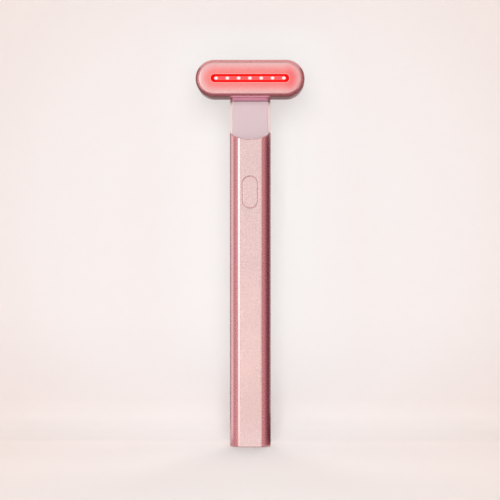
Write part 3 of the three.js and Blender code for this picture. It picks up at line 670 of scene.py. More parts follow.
def painted_glow_lens(name):
    """Red lens whose light from the lamps behind it is painted on as emission: deep red border, lighter
    strip, a white-hot spot over each lamp.
    """
    material, tree, shader = shaded(name)
    position = coordinates(tree)
    x, _, z = parts(position)
    across = calculate("ABSOLUTE", calculate("SUBTRACT", z, HEAD_CENTRE))
    beyond = calculate("ABSOLUTE", x)
    places = [(low.x + high.x) / 2 for low, high in lamp_boxes]
    pitch = abs(places[1] - places[0])
    end = max(places)
    blur = STRIP_HALF_WIDTH * STRIP_BLUR
    strip_side = remap(across, STRIP_HALF_WIDTH - blur, STRIP_HALF_WIDTH + blur, 1.0, 0.0)
    strip_end = remap(beyond, end, end + LAMP_SPOT_LENGTH / 2, 1.0, 0.0)
    strip = product(strip_side, strip_end)
    wrapped = calculate("PINGPONG", x, pitch / 2)
    from_lamp = calculate("DIVIDE", wrapped, LAMP_SPOT_LENGTH / 2)
    from_line = calculate("DIVIDE", across, LAMP_SPOT_WIDTH / 2)
    spot = remap(hypotenuse(from_lamp, from_line), *SPOT_BLUR, 1.0, 0.0)
    spot = product(spot, calculate("LESS_THAN", beyond, end + pitch / 2))
    flow = noise(position, FLOW_SCALE, 1.0)
    feed(shader, Base_Color=blend(remap(flow, NOISE_LOW, NOISE_HIGH), *LENS_BODY_COLOURS),
         Emission_Color=blend(spot, blend(strip, BORDER_RED, STRIP_RED), SPOT_WHITE),
         Emission_Strength=vary(flow, *LENS_EMISSIONS), Roughness=vary(flow, *LENS_ROUGHNESS),
         Specular_IOR_Level=LENS_SPECULAR)
    bump(shader, flow, LENS_BUMP, FINE_DEPTH)
    return material


MOULD_SMOOTHER = 0.04
MOULD_ROUGHER = 0.05
MOULD_DEPTH = 0.015 * MM


def moulded(name, colour, roughness, grain_scale=1500, variation=0.06, metallic=0.0, grain=0.2):
    """A fine-grained finish for moulded, painted and plated pieces."""
    material, tree, shader = shaded(name)
    fine = noise(coordinates(tree), grain_scale)
    feed(shader, Base_Color=toned(colour, vary(fine, 1 - variation, 1 + variation)),
         Roughness=vary(fine, roughness - MOULD_SMOOTHER, roughness + MOULD_ROUGHER),
         Metallic=metallic)
    bump(shader, fine, grain, MOULD_DEPTH)
    return material


LAMP_GRAIN_SCALE = 900
LAMP_BODY_COLOURS = ((1.0, 0.86, 0.83, 1.0), (1.0, 0.97, 0.95, 1.0))
LAMP_EMISSION_COLOUR = (1.0, 0.9, 0.88, 1.0)
LAMP_EMISSIONS = (0.9, 1.0)
LAMP_ROUGHNESS = (0.2, 0.3)


def glowing_lamp(name):
    """Lamp body that glows white, a little unevenly."""
    material, tree, shader = shaded(name)
    fine = noise(coordinates(tree), LAMP_GRAIN_SCALE, 1.0)
    feed(shader, Base_Color=blend(fine, *LAMP_BODY_COLOURS), Emission_Color=LAMP_EMISSION_COLOUR,
         Emission_Strength=vary(fine, *LAMP_EMISSIONS), Roughness=vary(fine, *LAMP_ROUGHNESS))
    return material


# Handle

def ring_cutter(outline, deep, face, edge, place):
    """A cutter that leaves a rounded edge where it comes out through a face."""
    into = 1 if face > deep else -1
    rings = [place(outline(0.0), deep)]
    rings += [place(outline(-inset), face - into * drop) for inset, drop in reversed(fillet(edge))]
    rings.append(place(outline(-edge), face + into * OVERRUN))
    return skin(rings)


def handle_tube(material):
    """The tube: scooped top, slot for the key, fine fillets on every edge that shows."""
    edge = fillet(EDGE_FILLET)
    rings = [level(handle_outline(inset), CAP_HEIGHT + rise) for inset, rise in fillet(CAP_SEAM_FILLET)]
    rings += [on_scoop(handle_outline(inset), SEAM_GAP, drop) for inset, drop in reversed(edge)]
    rings += [on_scoop(handle_outline(HANDLE_WALL - inset), SEAM_GAP, drop) for inset, drop in edge]
    rings.append(level(handle_outline(HANDLE_WALL), CAP_HEIGHT))
    tube = object_from("handle_tube_shell", skin(rings, torus=True))
    slot = ring_cutter(
        lambda inset: upright(pill(KEY_LENGTH + KEY_GAP * 2, KEY_WIDTH + KEY_GAP * 2, inset)),
        HANDLE_FLAT - HANDLE_WALL - OVERRUN, HANDLE_FLAT, SLOT_EDGE,
        lambda points, depth: facing(points, depth, KEY_CENTRE),
    )
    combine(tube, slot, "DIFFERENCE")
    finish_piece(tube, material, "handle", "rose_metal", "handle_tube")


def end_cap(material):
    """The cap: rounded edge at the bottom, a lip up into the tube, and the port's hole."""
    seam = reversed(fillet(CAP_SEAM_FILLET))
    inner = SPIGOT_INSET + CAP_LIP_WALL
    lip = ((SPIGOT_INSET, CAP_HEIGHT), (SPIGOT_INSET, cap_high.z), (inner, cap_high.z), (inner, CAP_HEIGHT))
    rings = [level(handle_outline(inset), drop) for inset, drop in fillet(CAP_EDGE, steps=BROAD_STEPS)]
    rings += [level(handle_outline(inset), CAP_HEIGHT - drop) for inset, drop in seam]
    rings += [level(handle_outline(inset), height) for inset, height in lip]
    cap = object_from("end_cap_shell", skin(rings))
    hole = ring_cutter(
        lambda inset: pill(PORT_WIDTH + PORT_GAP * 2, PORT_DEPTH + PORT_GAP * 2, inset),
        CAP_HEIGHT + OVERRUN, 0.0, PORT_HOLE_EDGE, level,
    )
    combine(cap, hole, "DIFFERENCE")
    finish_piece(cap, material, "handle", "rose_metal", "end_cap")


def port_shell(material):
    """A sleeve with rounded edges at its mouth and a wall at its rear end."""
    def ring(inset, height):
        return level(pill(PORT_WIDTH, PORT_DEPTH, inset), height)

    edge = fillet(PORT_EDGE)
    rings = [ring(0.0, port_high.z)]
    rings += [ring(inset, port_low.z + rise) for inset, rise in reversed(edge)]
    rings += [ring(PORT_WALL - inset, port_low.z + rise) for inset, rise in edge]
    rings.append(ring(PORT_WALL, port_high.z - PORT_BACK_WALL))
    shell = object_from("charging_port_sleeve", skin(rings))
    finish_piece(shell, material, "handle", "port_steel", "charging_port_shell")


def port_tongue(material):
    width = tongue_high.x - tongue_low.x
    thickness = tongue_high.y - tongue_low.y
    rings = [level(pill(width, thickness, inset), tongue_low.z + rise) for inset, rise in fillet(PORT_EDGE)]
    rings.append(level(pill(width, thickness), tongue_high.z))
    tongue = object_from("charging_port_blade", skin(rings))
    finish_piece(tongue, material, "handle", "black_plastic", "charging_port_tongue")


def power_button(material):
    """The key: a flush pill with a fine edge, its flange inside the tube and its stem."""
    def key_ring(inset, depth):
        return facing(upright(pill(KEY_LENGTH, KEY_WIDTH, inset)), depth, KEY_CENTRE)

    rings = [key_ring(inset, HANDLE_FLAT - drop) for inset, drop in fillet(KEY_EDGE)]
    rings.append(key_ring(0.0, KEY_FLANGE_FRONT))
    flange = upright(pill(KEY_FLANGE_LENGTH, KEY_FLANGE_WIDTH))
    rings += [facing(flange, depth, KEY_CENTRE) for depth in (KEY_FLANGE_FRONT, KEY_FLANGE_BACK)]
    key = object_from("power_key", skin(rings))
    stem = skin([facing(circle(KEY_STEM_RADIUS), depth, KEY_CENTRE)
                 for depth in (KEY_FLANGE_FRONT - KEY_STEM_OVERLAP, -key_high.y)])
    combine(key, stem, "UNION")
    finish_piece(key, material, "button", "rose_metal", "power_button")


def neck_foot(inset, rise):
    """The neck's lowest ring: it reaches down behind the tube's front edge, but not at the tube's wall."""
    ring = []
    for x, y in neck_outline(inset):
        share = (NECK_DIP_OUTER - abs(x)) / (NECK_DIP_OUTER - NECK_DIP_INNER)
        share = min(max(share, 0.0), 1.0)
        ring.append((x, y, scoop_height(x, y) + rise - NECK_DIP * share))
    return ring


def neck(material):
    """The neck on its spigot, with the pivot's hole, the seat of the friction ring and the bore."""
    rings = [level(neck_outline(inset), NECK_TOP - drop) for inset, drop in fillet(EDGE_FILLET)]
    rings += [neck_foot(inset, rise) for inset, rise in reversed(fillet(EDGE_FILLET))]
    rings.append(neck_foot(SPIGOT_INSET, 0.0))
    rings.append(level(neck_outline(SPIGOT_INSET), SCOOP_LOW - SHOULDER_WALL / 2))
    stem = object_from("neck_stem", skin(rings))
    outline = handle_outline(SPIGOT_INSET)
    gap = SEAM_GAP + SHOULDER_STEP
    spigot = [level(outline, neck_low.z), on_scoop(outline, gap)]
    spigot += [on_scoop([(x * share, y * share) for x, y in outline], gap) for share in SHOULDER_SHARES]
    combine(stem, skin(spigot), "UNION")
    bore_top = SCOOP_LOW - SHOULDER_WALL
    combine(stem, rod_z(NECK_BORE_RADIUS, neck_low.z - OVERRUN, bore_top), "DIFFERENCE")
    combine(stem, rod_z(PIVOT_HOLE_RADIUS, bore_top - OVERRUN, NECK_TOP + OVERRUN), "DIFFERENCE")
    combine(stem, rod_z(RING_SEAT_RADIUS, NECK_TOP - RING_SEAT_DEPTH, NECK_TOP + OVERRUN), "DIFFERENCE")
    finish_piece(stem, material, "handle", "neck_satin", "neck_housing")


def collar(material):
    """The band under the head, with the pivot's hole through it."""
    top = collar_high.z + COLLAR_LIFT
    lower_edge = fillet(EDGE_FILLET)
    upper_edge = reversed(fillet(COLLAR_TOP_EDGE))
    rings = [level(neck_outline(COLLAR_INSET + inset), collar_low.z + rise) for inset, rise in lower_edge]
    rings += [level(neck_outline(COLLAR_INSET + inset), top - drop) for inset, drop in upper_edge]
    turns = [math.atan2(y, x) for x, y in neck_outline(COLLAR_INSET)]
    hole = [(PIVOT_HOLE_RADIUS * math.cos(turn), PIVOT_HOLE_RADIUS * math.sin(turn)) for turn in turns]
    rings += [level(hole, top), level(hole, collar_low.z)]
    band = object_from("swivel_band", skin(rings, torus=True))
    finish_piece(band, material, "handle", "collar_metal", "swivel_collar")


# Head

def head_rim(material):
    """The front frame: rounded rim, pocket for the plate, ledge under it, wall back to the seam."""
    round_edge = reversed(crown(RIM_WIDTH - EDGE_FILLET, RIM_EDGE, RIM_EDGE_START))
    ledge_back = PLATE_BACK - LEDGE_THICKNESS
    ledge = ((LEDGE_INSET, PLATE_BACK), (LEDGE_INSET, ledge_back), (HEAD_WALL, ledge_back))
    rings = [head_ring(inset, HEAD_SEAM + rise) for inset, rise in fillet(SEAM_FILLET)]
    rings += [rim_ring(inset, HEAD_FRONT - drop) for inset, drop in round_edge]
    rings += [rim_ring(RIM_WIDTH - inset, HEAD_FRONT - drop) for inset, drop in fillet(EDGE_FILLET)]
    rings.append(rim_ring(RIM_WIDTH, PLATE_BACK))
    rings += [head_ring(inset, depth) for inset, depth in ledge + ((HEAD_WALL, HEAD_SEAM),)]
    rim = object_from("head_rim", skin(rings, torus=True))
    finish_piece(rim, material, "head", "head_metal", "head_front_frame")


def head_back(material):
    """The rear shell: crowned edges all round, a lip at the seam, hollow inside."""
    outer_edge = fillet(BACK_EDGE_INSET, BACK_EDGE, BROAD_STEPS)
    inner_edge = fillet(HOLLOW_EDGE_INSET, HOLLOW_EDGE, BROAD_STEPS)
    lip_front = HEAD_SEAM + LIP_HEIGHT
    lip = ((LIP_INSET, HEAD_SEAM), (LIP_INSET, lip_front), (HEAD_WALL, lip_front))
    inner_back = HEAD_BACK - HEAD_WALL
    rings = [head_ring(inset, drop - HEAD_BACK) for inset, drop in outer_edge]
    rings += [head_ring(inset, HEAD_SEAM - drop) for inset, drop in reversed(fillet(SEAM_FILLET))]
    rings += [head_ring(inset, depth) for inset, depth in lip]
    rings += [head_ring(HEAD_WALL + inset, drop - inner_back) for inset, drop in reversed(inner_edge)]
    shell = object_from("head_rear_shell", skin(rings))
    floor = HEAD_CENTRE - HEAD_HEIGHT / 2
    combine(shell, rod_z(PIVOT_HOLE_RADIUS, floor - OVERRUN, floor + HEAD_WALL + OVERRUN), "DIFFERENCE")
    finish_piece(shell, material, "head", "head_metal", "head_back_housing")


def treatment_plate(material):
    """The face plate with its soft outer edge and the slot for the light."""
    outer = (PLATE_LENGTH, PLATE_WIDTH)
    slot = (SLOT_LENGTH, SLOT_WIDTH)
    soft_edge = reversed(fillet(PLATE_EDGE_INSET, PLATE_EDGE, BROAD_STEPS))
    rings = [face_ring(*outer, 0.0, PLATE_BACK)]
    rings += [face_ring(*outer, inset, PLATE_FRONT - drop) for inset, drop in soft_edge]
    rings += [face_ring(*slot, -inset, PLATE_FRONT - drop) for inset, drop in fillet(EDGE_FILLET)]
    rings.append(face_ring(*slot, 0.0, PLATE_BACK))
    plate = object_from("face_plate", skin(rings, torus=True))
    finish_piece(plate, material, "head", "plate_metal", "treatment_plate")


def light_window(material):
    """The lens that fills the slot, on the flange that holds it from behind."""
    lens = (SLOT_LENGTH - LENS_GAP * 2, SLOT_WIDTH - LENS_GAP * 2)
    flange = (LENS_FLANGE_LENGTH, LENS_FLANGE_WIDTH)
    rings = [face_ring(*flange, 0.0, depth) for depth in (LENS_BACK, LENS_FLANGE_FRONT)]
    rings.append(face_ring(*lens, 0.0, LENS_FLANGE_FRONT))
    rings += [face_ring(*lens, inset, LENS_FRONT - drop) for inset, drop in reversed(fillet(LENS_EDGE))]
    window = object_from("light_lens", skin(rings))
    finish_piece(window, material, "head", "red_lens", "light_window")


# Studio

FLOOR_COLOUR = srgb(249, 243, 242)
# Painted falloff of the light: darker, warmer paper further from the wand
FLOOR_FALLOFF_COLOUR = srgb(245, 232, 228)
# Painted light close beside the wand, thinning its shadow on the paper
FLOOR_PAINTED_LIGHT_COLOUR = srgb(251, 250, 249)
WALL_DEPTH = 26 * MM
COVE_RADIUS = 16 * MM
COVE_FRONT = WALL_DEPTH - COVE_RADIUS
COVE_STEPS = 24
STAGE_REACH = 1500 * MM
REAR_FLOOR_DROP = 0.2 * MM
# Centre and reach of the painted falloff
PALE_HEIGHT = 92 * MM
PALE_REACHES = (60 * MM, 165 * MM)
# Where the painted light beside the wand reaches aside, up and forward, and how much of it stays low down
PAINTED_LIGHT_REACHES = (12 * MM, 50 * MM)
PAINTED_LIGHT_TOPS = (170 * MM, 192 * MM)
PAINTED_LIGHT_FRONTS = (-80 * MM, -5 * MM)
PAINTED_LIGHT_LOW_SHARE = 0.4
PAINTED_LIGHT_FULL_HEIGHT = 80 * MM
# Painted shadow on the floor before the wand's foot
FOOT_PAINTED_SHADOW_DEPTHS = (-95 * MM, 5 * MM)
FOOT_PAINTED_SHADOW_HEIGHTS = (0.5 * MM, 3.5 * MM)
FOOT_PAINTED_SHADOW = 0.07
# Painted light in a band up the cove and painted shade above it, evening out how the lamps light the turn
COVE_PAINTED_LIGHT = 0.05
COVE_PAINTED_LIGHT_HEIGHTS = (3 * MM, 6 * MM, 9 * MM, 15 * MM)
COVE_PAINTED_SHADE = 0.03
COVE_PAINTED_SHADE_HEIGHTS = (13 * MM, 19 * MM, 24 * MM, 60 * MM)
FIBRE_SCALE = 300
FIBRE_TONES = (0.997, 1.003)
WALL_OWN_LIGHT = 0.36
OWN_LIGHT_HEIGHTS = (4.8 * MM, 40 * MM)


def mixed(share, first, second):
    """A mix of two shaders."""
    return fill(share.id_data.nodes.new("ShaderNodeMixShader"), share, first, second)


def rear_side(tree):
    return tree.nodes.new("ShaderNodeNewGeometry").outputs["Backfacing"]


def any_ray(tree, *kinds):
    """1 for a ray of any of the kinds."""
    path = tree.nodes.new("ShaderNodeLightPath")
    found = path.outputs[kinds[0]]
    for kind in kinds[1:]:
        found = calculate("MAXIMUM", found, path.outputs[kind])
    return found


def clear_where(hidden, surface, output):
    """Ends a material that is clear wherever the hidden value is 1."""
    clear = hidden.id_data.nodes.new("ShaderNodeBsdfTransparent")
    connect(mixed(hidden, surface, clear.outputs[0]), output)


def hump(value, places, height):
    """A smooth swell from the first of four places to the last, at its full height between the others."""
    start, first, last, end = places
    rise = remap(value, start, first, 0.0, height)
    return product(rise, remap(value, last, end, 1.0, 0.0))


def backdrop_colour(x, y, z):
    """Pale round the wand, a little warmer and darker further out as a painted falloff of the light, and
    nearly white close beside it as painted light that thins the wand's shadow.
    """
    away = hypotenuse(x, calculate("SUBTRACT", z, PALE_HEIGHT))
    far = blend(remap(away, *PALE_REACHES), FLOOR_COLOUR, FLOOR_FALLOFF_COLOUR)
    # Painted light beside the wand, thinning its shadow
    near = product(remap(calculate("ABSOLUTE", x), *PAINTED_LIGHT_REACHES, 1.0, 0.0),
                   remap(z, *PAINTED_LIGHT_TOPS, 1.0, 0.0),
                   remap(y, *PAINTED_LIGHT_FRONTS),
                   remap(z, 0.0, PAINTED_LIGHT_FULL_HEIGHT, PAINTED_LIGHT_LOW_SHARE, 1.0))
    return blend(near, far, FLOOR_PAINTED_LIGHT_COLOUR)


def backdrop_tone(position, y, z):
    """The paper's tone: a painted shadow on the floor near the wand, a band of painted light that makes the
    cove paler, and painted shade a little darker above it.
    """
    # Painted shadow on the floor before the wand
    foot = product(remap(y, *FOOT_PAINTED_SHADOW_DEPTHS, 0.0, FOOT_PAINTED_SHADOW),
                   remap(z, *FOOT_PAINTED_SHADOW_HEIGHTS, 1.0, 0.0))
    tone = calculate("SUBTRACT", 1.0, foot)
    # Painted light up the cove, painted shade above it
    tone = calculate("ADD", tone, hump(z, COVE_PAINTED_LIGHT_HEIGHTS, COVE_PAINTED_LIGHT))
    tone = calculate("SUBTRACT", tone, hump(z, COVE_PAINTED_SHADE_HEIGHTS, COVE_PAINTED_SHADE))
    return product(tone, vary(noise(position, FIBRE_SCALE), *FIBRE_TONES))


def backdrop_material(name):
    """Pale paper that only shows from its front side.

    Part of what the camera and mirrors see is the paper's own paleness; the rest is lit and shadowed.
    The paper takes shadows but casts none, so a lamp can stand behind it.
    """
    material, tree, output = bare_material(name)
    position = coordinates(tree)
    x, y, z = parts(position)
    colour = toned(backdrop_colour(x, y, z), backdrop_tone(position, y, z))
    paper = add("ShaderNodeBsdfDiffuse", Color=colour)
    pale = add("ShaderNodeEmission", Color=colour)
    seen = any_ray(tree, "Is Camera Ray", "Is Glossy Ray", "Is Transmission Ray")
    share = product(seen, remap(z, *OWN_LIGHT_HEIGHTS, 0.0, WALL_OWN_LIGHT))
    surface = mixed(share, paper.outputs[0], pale.outputs[0])
    hidden = calculate("MAXIMUM", rear_side(tree), any_ray(tree, "Is Shadow Ray"))
    clear_where(hidden, surface, output)
    return material


def sheet(rows, smooth_faces=False):
    """A mesh of faces between rows of two points."""
    mesh = bmesh.new()
    corners = [[mesh.verts.new(point) for point in row] for row in rows]
    for near, far in zip(corners, corners[1:]):
        face = mesh.faces.new((near[0], near[1], far[1], far[0]))
        face.smooth = smooth_faces
    mesh.normal_update()
    return mesh


def stage_strip(name, profile, material):
    """A sheet along X through a profile of depth and height, its front side up and towards the viewer."""
    rows = [[(x, depth, height) for x in (-STAGE_REACH, STAGE_REACH)] for depth, height in profile]
    strip = object_from(name, sheet(rows, smooth_faces=True))
    dress(strip, material)


def cove(radius):
    """The quarter turn from the floor up to the wall."""
    return arc(COVE_FRONT, COVE_RADIUS, radius, -math.pi / 2, 0, COVE_STEPS)


def stage():
    """A floor that turns up into a wall close behind the wand, and a floor beyond it for rear views."""
    paper = backdrop_material("backdrop_paper")
    profile = [(-STAGE_REACH, 0.0)] + cove(COVE_RADIUS) + [(WALL_DEPTH, STAGE_REACH)]
    stage_strip("floor_and_wall", profile, paper)
    stage_strip("floor_behind", [(COVE_FRONT, -REAR_FLOOR_DROP), (STAGE_REACH, -REAR_FLOOR_DROP)], paper)


WORLD_LIGHT = (0.43, 0.465, 0.465, 1.0)
WORLD_MIRRORED = (0.9, 0.895, 0.89, 1.0)


def world():
    """Even surroundings: one tone for the light they give, a paler one where they are seen or mirrored."""
    surroundings = bpy.data.worlds.new("studio")
    bpy.context.scene.world = surroundings
    surroundings.use_nodes = True
    tree = surroundings.node_tree
    tree.nodes.clear()
    output = tree.nodes.new("ShaderNodeOutputWorld")
    seen = any_ray(tree, "Is Camera Ray", "Is Transmission Ray", "Is Glossy Ray")
    colour = blend(seen, WORLD_LIGHT, WORLD_MIRRORED)
    background = add("ShaderNodeBackground", Color=colour)
    connect(background.outputs[0], output.inputs[0])


LIGHT_COLOUR = (1.0, 0.985, 0.975)
LIGHT_AIM = (0.0, 0.0, 100 * MM)


def softbox(name, place, width, height, radiance, aim=LIGHT_AIM, diffuse=True, glossy=True):
    """An area light of an even radiance, turned to look at a point."""
    data = bpy.data.lights.new(name, "AREA")
    data.shape = "RECTANGLE"
    data.size = width
    data.size_y = height
    data.energy = radiance * math.pi * width * height
    data.color = LIGHT_COLOUR
    lamp = bpy.data.objects.new(name, data)
    lamp.location = place
    lamp.rotation_euler = (Vector(aim) - Vector(place)).to_track_quat("-Z", "Y").to_euler()
    lamp.visible_camera = False
    lamp.visible_diffuse = diffuse
    lamp.visible_glossy = glossy
    bpy.context.scene.collection.objects.link(lamp)


def card_material(name, stops):
    """The tone of a card; stops are pairs of depth (along Y) and colour. Its rear side is clear."""
    material, tree, output = bare_material(name + "_card")
    depth = parts(coordinates(tree))[1]
    colour = stops[0][1]
    for (start, _), (end, following) in zip(stops, stops[1:]):
        colour = blend(remap(depth, start, end), colour, following)
    shade = add("ShaderNodeEmission", Color=colour)
    clear_where(rear_side(tree), shade.outputs[0], output)
    return material


def flag(name, rows, towards, stops):
    """A card through rows of two points that only mirrors see, as a studio's flags stand out of the picture.

    It is seen from the side that lies towards the given direction.
    """
    mesh = sheet(rows)
    if sum(face.normal.dot(Vector(towards)) for face in mesh.faces) < 0:
        bmesh.ops.reverse_faces(mesh, faces=mesh.faces)
    card = object_from(name, mesh)
    dress(card, card_material(name, stops))
    card.visible_camera = False
    card.visible_diffuse = False
    card.visible_shadow = False
    card.visible_transmission = False


HANDLE_FLAG_TOP = 136.2 * MM
HEAD_FLAG_LOW = 149.3 * MM
HEAD_FLAG_TOP = 172 * MM
FLAG_BACK = 25 * MM
FLAG_ASIDE = 34 * MM
FLAG_INNER = 12 * MM
FLOOR_FLAG_INNER = 9.3 * MM
FLOOR_FLAG_LIFT = 0.3 * MM


def standing_flags(name, ends, towards, handle_stops, head_stops):
    """Two cards one above the other, with the neck's height left free, between two points in plan."""
    cards = (("handle", 0.0, HANDLE_FLAG_TOP, handle_stops),
             ("head", HEAD_FLAG_LOW, HEAD_FLAG_TOP, head_stops))
    for part, low, high, stops in cards:
        rows = [[(x, y, height) for x, y in ends] for height in (low, high)]
        flag(f"{name}_{part}_flag", rows, towards, stops)


def floor_flag(name, side, front, stops):
    """A card that lies on the floor beside the wand and follows the cove up to the standing ones."""
    profile = [(front, FLOOR_FLAG_LIFT)] + cove(COVE_RADIUS - FLOOR_FLAG_LIFT)
    rows = [[(side * x, y, z) for x in (FLOOR_FLAG_INNER, FLAG_ASIDE)] for y, z in profile]
    flag(f"{name}_floor_flag", rows, (0, -1, 1), stops)


def lying_flag(name, half_width, front, back, height, stops):
    rows = [[(-half_width, y, height), (half_width, y, height)] for y in (front, back)]
    flag(name, rows, (0, 0, 1), stops)


def graded(places, *colours):
    """Stops of a card's tone, from depths along Y and the colours there."""
    return [(place, (*colour, 1.0)) for place, colour in zip(places, colours)]


def even(*colour):
    """Stops of a card of one tone."""
    return graded((0.0, FLAG_BACK), colour, colour)


# Cards beside the wand
RIGHT_FLAG_FRONT = -19 * MM
RIGHT_PLACES = (RIGHT_FLAG_FRONT, -9 * MM, 1 * MM, 9 * MM, 18 * MM, FLAG_BACK)
RIGHT_STOPS = graded(RIGHT_PLACES, (0.74, 0.57, 0.59), (0.74, 0.58, 0.59), (0.34, 0.19, 0.21),
                     (0.18, 0.08, 0.1), (0.12, 0.05, 0.06), (0.26, 0.16, 0.17))
RIGHT_HEAD_STOPS = graded(RIGHT_PLACES, (0.62, 0.4, 0.41), (0.52, 0.31, 0.33), (0.24, 0.12, 0.14),
                          (0.18, 0.09, 0.1), (0.2, 0.11, 0.12), (0.3, 0.2, 0.2))
LEFT_FLAG_FRONT = -14 * MM
LEFT_PLACES = (LEFT_FLAG_FRONT, -4 * MM, 2 * MM, 10 * MM, 20 * MM, FLAG_BACK)
LEFT_STOPS = graded(LEFT_PLACES, (0.85, 0.8, 0.8), (0.62, 0.5, 0.52), (0.62, 0.5, 0.52),
                    (1.2, 1.4, 1.35), (1.2, 1.4, 1.35), (0.5, 0.5, 0.5))
LEFT_FLOOR_STOPS = graded(LEFT_PLACES, (0.85, 0.8, 0.8), (0.62, 0.5, 0.52), (0.6, 0.47, 0.49),
                          (0.8, 0.86, 0.84), (0.7, 0.74, 0.72), (0.4, 0.36, 0.36))
LEFT_HEAD_STOPS = graded((LEFT_FLAG_FRONT, -5 * MM, FLAG_BACK),
                         (0.7, 0.5, 0.5), (0.36, 0.24, 0.24), (0.36, 0.26, 0.26))
RIGHT_BACK_STOPS = even(0.4, 0.34, 0.34)
LEFT_BACK_STOPS = even(0.45, 0.42, 0.42)

# Cards under the head and the collar, and those on the floor before the handle
UNDER_FLAG_HEIGHT = 147.4 * MM
UNDER_FLAG_HALF = 40 * MM
UNDER_FLAG_FRONT = -13 * MM
UNDER_FLAG_BACK = 24 * MM
UNDER_ROSE = (0.47, 0.24, 0.28)
UNDER_GREY = (0.24, 0.2, 0.2)
UNDER_STOPS = graded((UNDER_FLAG_FRONT, -10.5 * MM, -8 * MM, UNDER_FLAG_BACK),
                     UNDER_ROSE, UNDER_ROSE, UNDER_GREY, UNDER_GREY)
COLLAR_CARD_LIFT = 0.05 * MM
COLLAR_CARD_HALF = 8.2 * MM
COLLAR_CARD_FRONT = -8.8 * MM
COLLAR_CARD_BACK = -4.4 * MM
COLLAR_CARD_STOPS = graded((-9 * MM, -4 * MM), (0.8, 0.7, 0.88), (0.95, 0.9, 1.1))
BASE_CARD_LIFT = 0.1 * MM
BASE_CARD_HALF = 60 * MM
BASE_CARD_FRONT = -60 * MM
BASE_CARD_BACK = -HANDLE_FLAT - 0.1 * MM
BASE_STOPS = even(0.95, 0.95, 0.95)
STRIP_CARD_ENDS = (60 * MM, 560 * MM)
STRIP_CARD_TURNS = (math.radians(24), math.radians(62))
STRIP_CARD_STOPS = even(1.5, 1.48, 1.46)


def strip_card():
    """A bright card on the floor that carries the strip light's mirror image down to the handle's foot."""
    ways = [(-math.sin(turn), -math.cos(turn)) for turn in STRIP_CARD_TURNS]
    rows = [[(x * reach, y * reach, FLOOR_FLAG_LIFT) for x, y in ways] for reach in STRIP_CARD_ENDS]
    flag("strip_card", rows, (0, 0, 1), STRIP_CARD_STOPS)


def flags():
    """Cards beside the wand that shade its flanks, and others for head, collar, foot and left crease."""
    strip_card()
    right_ends = ((FLAG_ASIDE, RIGHT_FLAG_FRONT), (FLAG_ASIDE, FLAG_BACK))
    left_ends = ((-FLAG_ASIDE, LEFT_FLAG_FRONT), (-FLAG_ASIDE, FLAG_BACK))
    standing_flags("right", right_ends, (-1, 0, 0), RIGHT_STOPS, RIGHT_HEAD_STOPS)
    standing_flags("left", left_ends, (1, 0, 0), LEFT_STOPS, LEFT_HEAD_STOPS)
    for name, side, stops in (("right_back", 1, RIGHT_BACK_STOPS), ("left_back", -1, LEFT_BACK_STOPS)):
        ends = ((side * FLAG_INNER, FLAG_BACK), (side * FLAG_ASIDE, FLAG_BACK))
        standing_flags(name, ends, (0, -1, 0), stops, stops)
    floor_flag("right", 1, RIGHT_FLAG_FRONT, RIGHT_STOPS)
    floor_flag("left", -1, LEFT_FLAG_FRONT, LEFT_FLOOR_STOPS)
    lying_flag("base_card", BASE_CARD_HALF, BASE_CARD_FRONT, BASE_CARD_BACK, BASE_CARD_LIFT, BASE_STOPS)
    lying_flag("under_flag", UNDER_FLAG_HALF, UNDER_FLAG_FRONT, UNDER_FLAG_BACK,
               UNDER_FLAG_HEIGHT, UNDER_STOPS)
    lying_flag("collar_card", COLLAR_CARD_HALF, COLLAR_CARD_FRONT, COLLAR_CARD_BACK,
               UNDER_FLAG_HEIGHT + COLLAR_CARD_LIFT, COLLAR_CARD_STOPS)


def lights():
    """Two soft lights that mirrors don't see, and two strips for the left crease that only mirrors see."""
    softbox("front_light", place=(0.0, -690 * MM, 235 * MM),
            width=370 * MM, height=370 * MM, radiance=5.3, glossy=False)
    softbox("top_light", place=(0.0, 440 * MM, 490 * MM),
            width=340 * MM, height=340 * MM, radiance=5.4, aim=(0.0, 0.0, 0.0), glossy=False)
    softbox("strip_light", place=(-432 * MM, -463 * MM, 100 * MM),
            width=430 * MM, height=560 * MM, radiance=1.6, diffuse=False)
    softbox("edge_light", place=(-591 * MM, -227 * MM, 60 * MM),
            width=120 * MM, height=420 * MM, radiance=0.6, diffuse=False)


CAMERA_DISTANCE = 800 * MM
CAMERA_AZIMUTH = math.radians(0.9)
CAMERA_HEIGHT = 83.8 * MM
PHOTO_WIDTH = 500
PIXEL = 0.43 * MM
SHIFT_RIGHT = 0.3
SHIFT_DOWN = 0.5
SENSOR = 36.0
CLIP_START = 10 * MM
CLIP_END = 10000 * MM


def camera():
    """Looks straight ahead at the wand from a little to the right; the shifts are in the photo's pixels."""
    data = bpy.data.cameras.new("camera")
    data.sensor_width = SENSOR
    data.lens = SENSOR * CAMERA_DISTANCE / (PHOTO_WIDTH * PIXEL)
    data.shift_x = -SHIFT_RIGHT / PHOTO_WIDTH
    data.shift_y = SHIFT_DOWN / PHOTO_WIDTH
    data.clip_start = CLIP_START
    data.clip_end = CLIP_END
    viewer = bpy.data.objects.new("camera", data)
    aside = CAMERA_DISTANCE * math.sin(CAMERA_AZIMUTH)
    viewer.location = (aside, -CAMERA_DISTANCE * math.cos(CAMERA_AZIMUTH), CAMERA_HEIGHT)
    viewer.rotation_euler = (math.pi / 2, 0.0, CAMERA_AZIMUTH)
    bpy.context.scene.collection.objects.link(viewer)
    bpy.context.scene.camera = viewer
    bpy.context.scene.view_settings.view_transform = "Standard"


# Pieces and their finishes

# Painted shade on the neck's top, under the head's overhang
NECK_PAINTED_SHADE_HEIGHTS = (NECK_TOP - 2.4 * MM, NECK_TOP)
NECK_TOP_PAINTED_SHADE = 0.82
# Painted light on the collar's top, against the shade of the head's overhang
COLLAR_PAINTED_LIGHT_HEIGHTS = (NECK_TOP + 0.5 * MM, NECK_TOP + 1.5 * MM)
COLLAR_TOP_PAINTED_LIGHT = 2.3
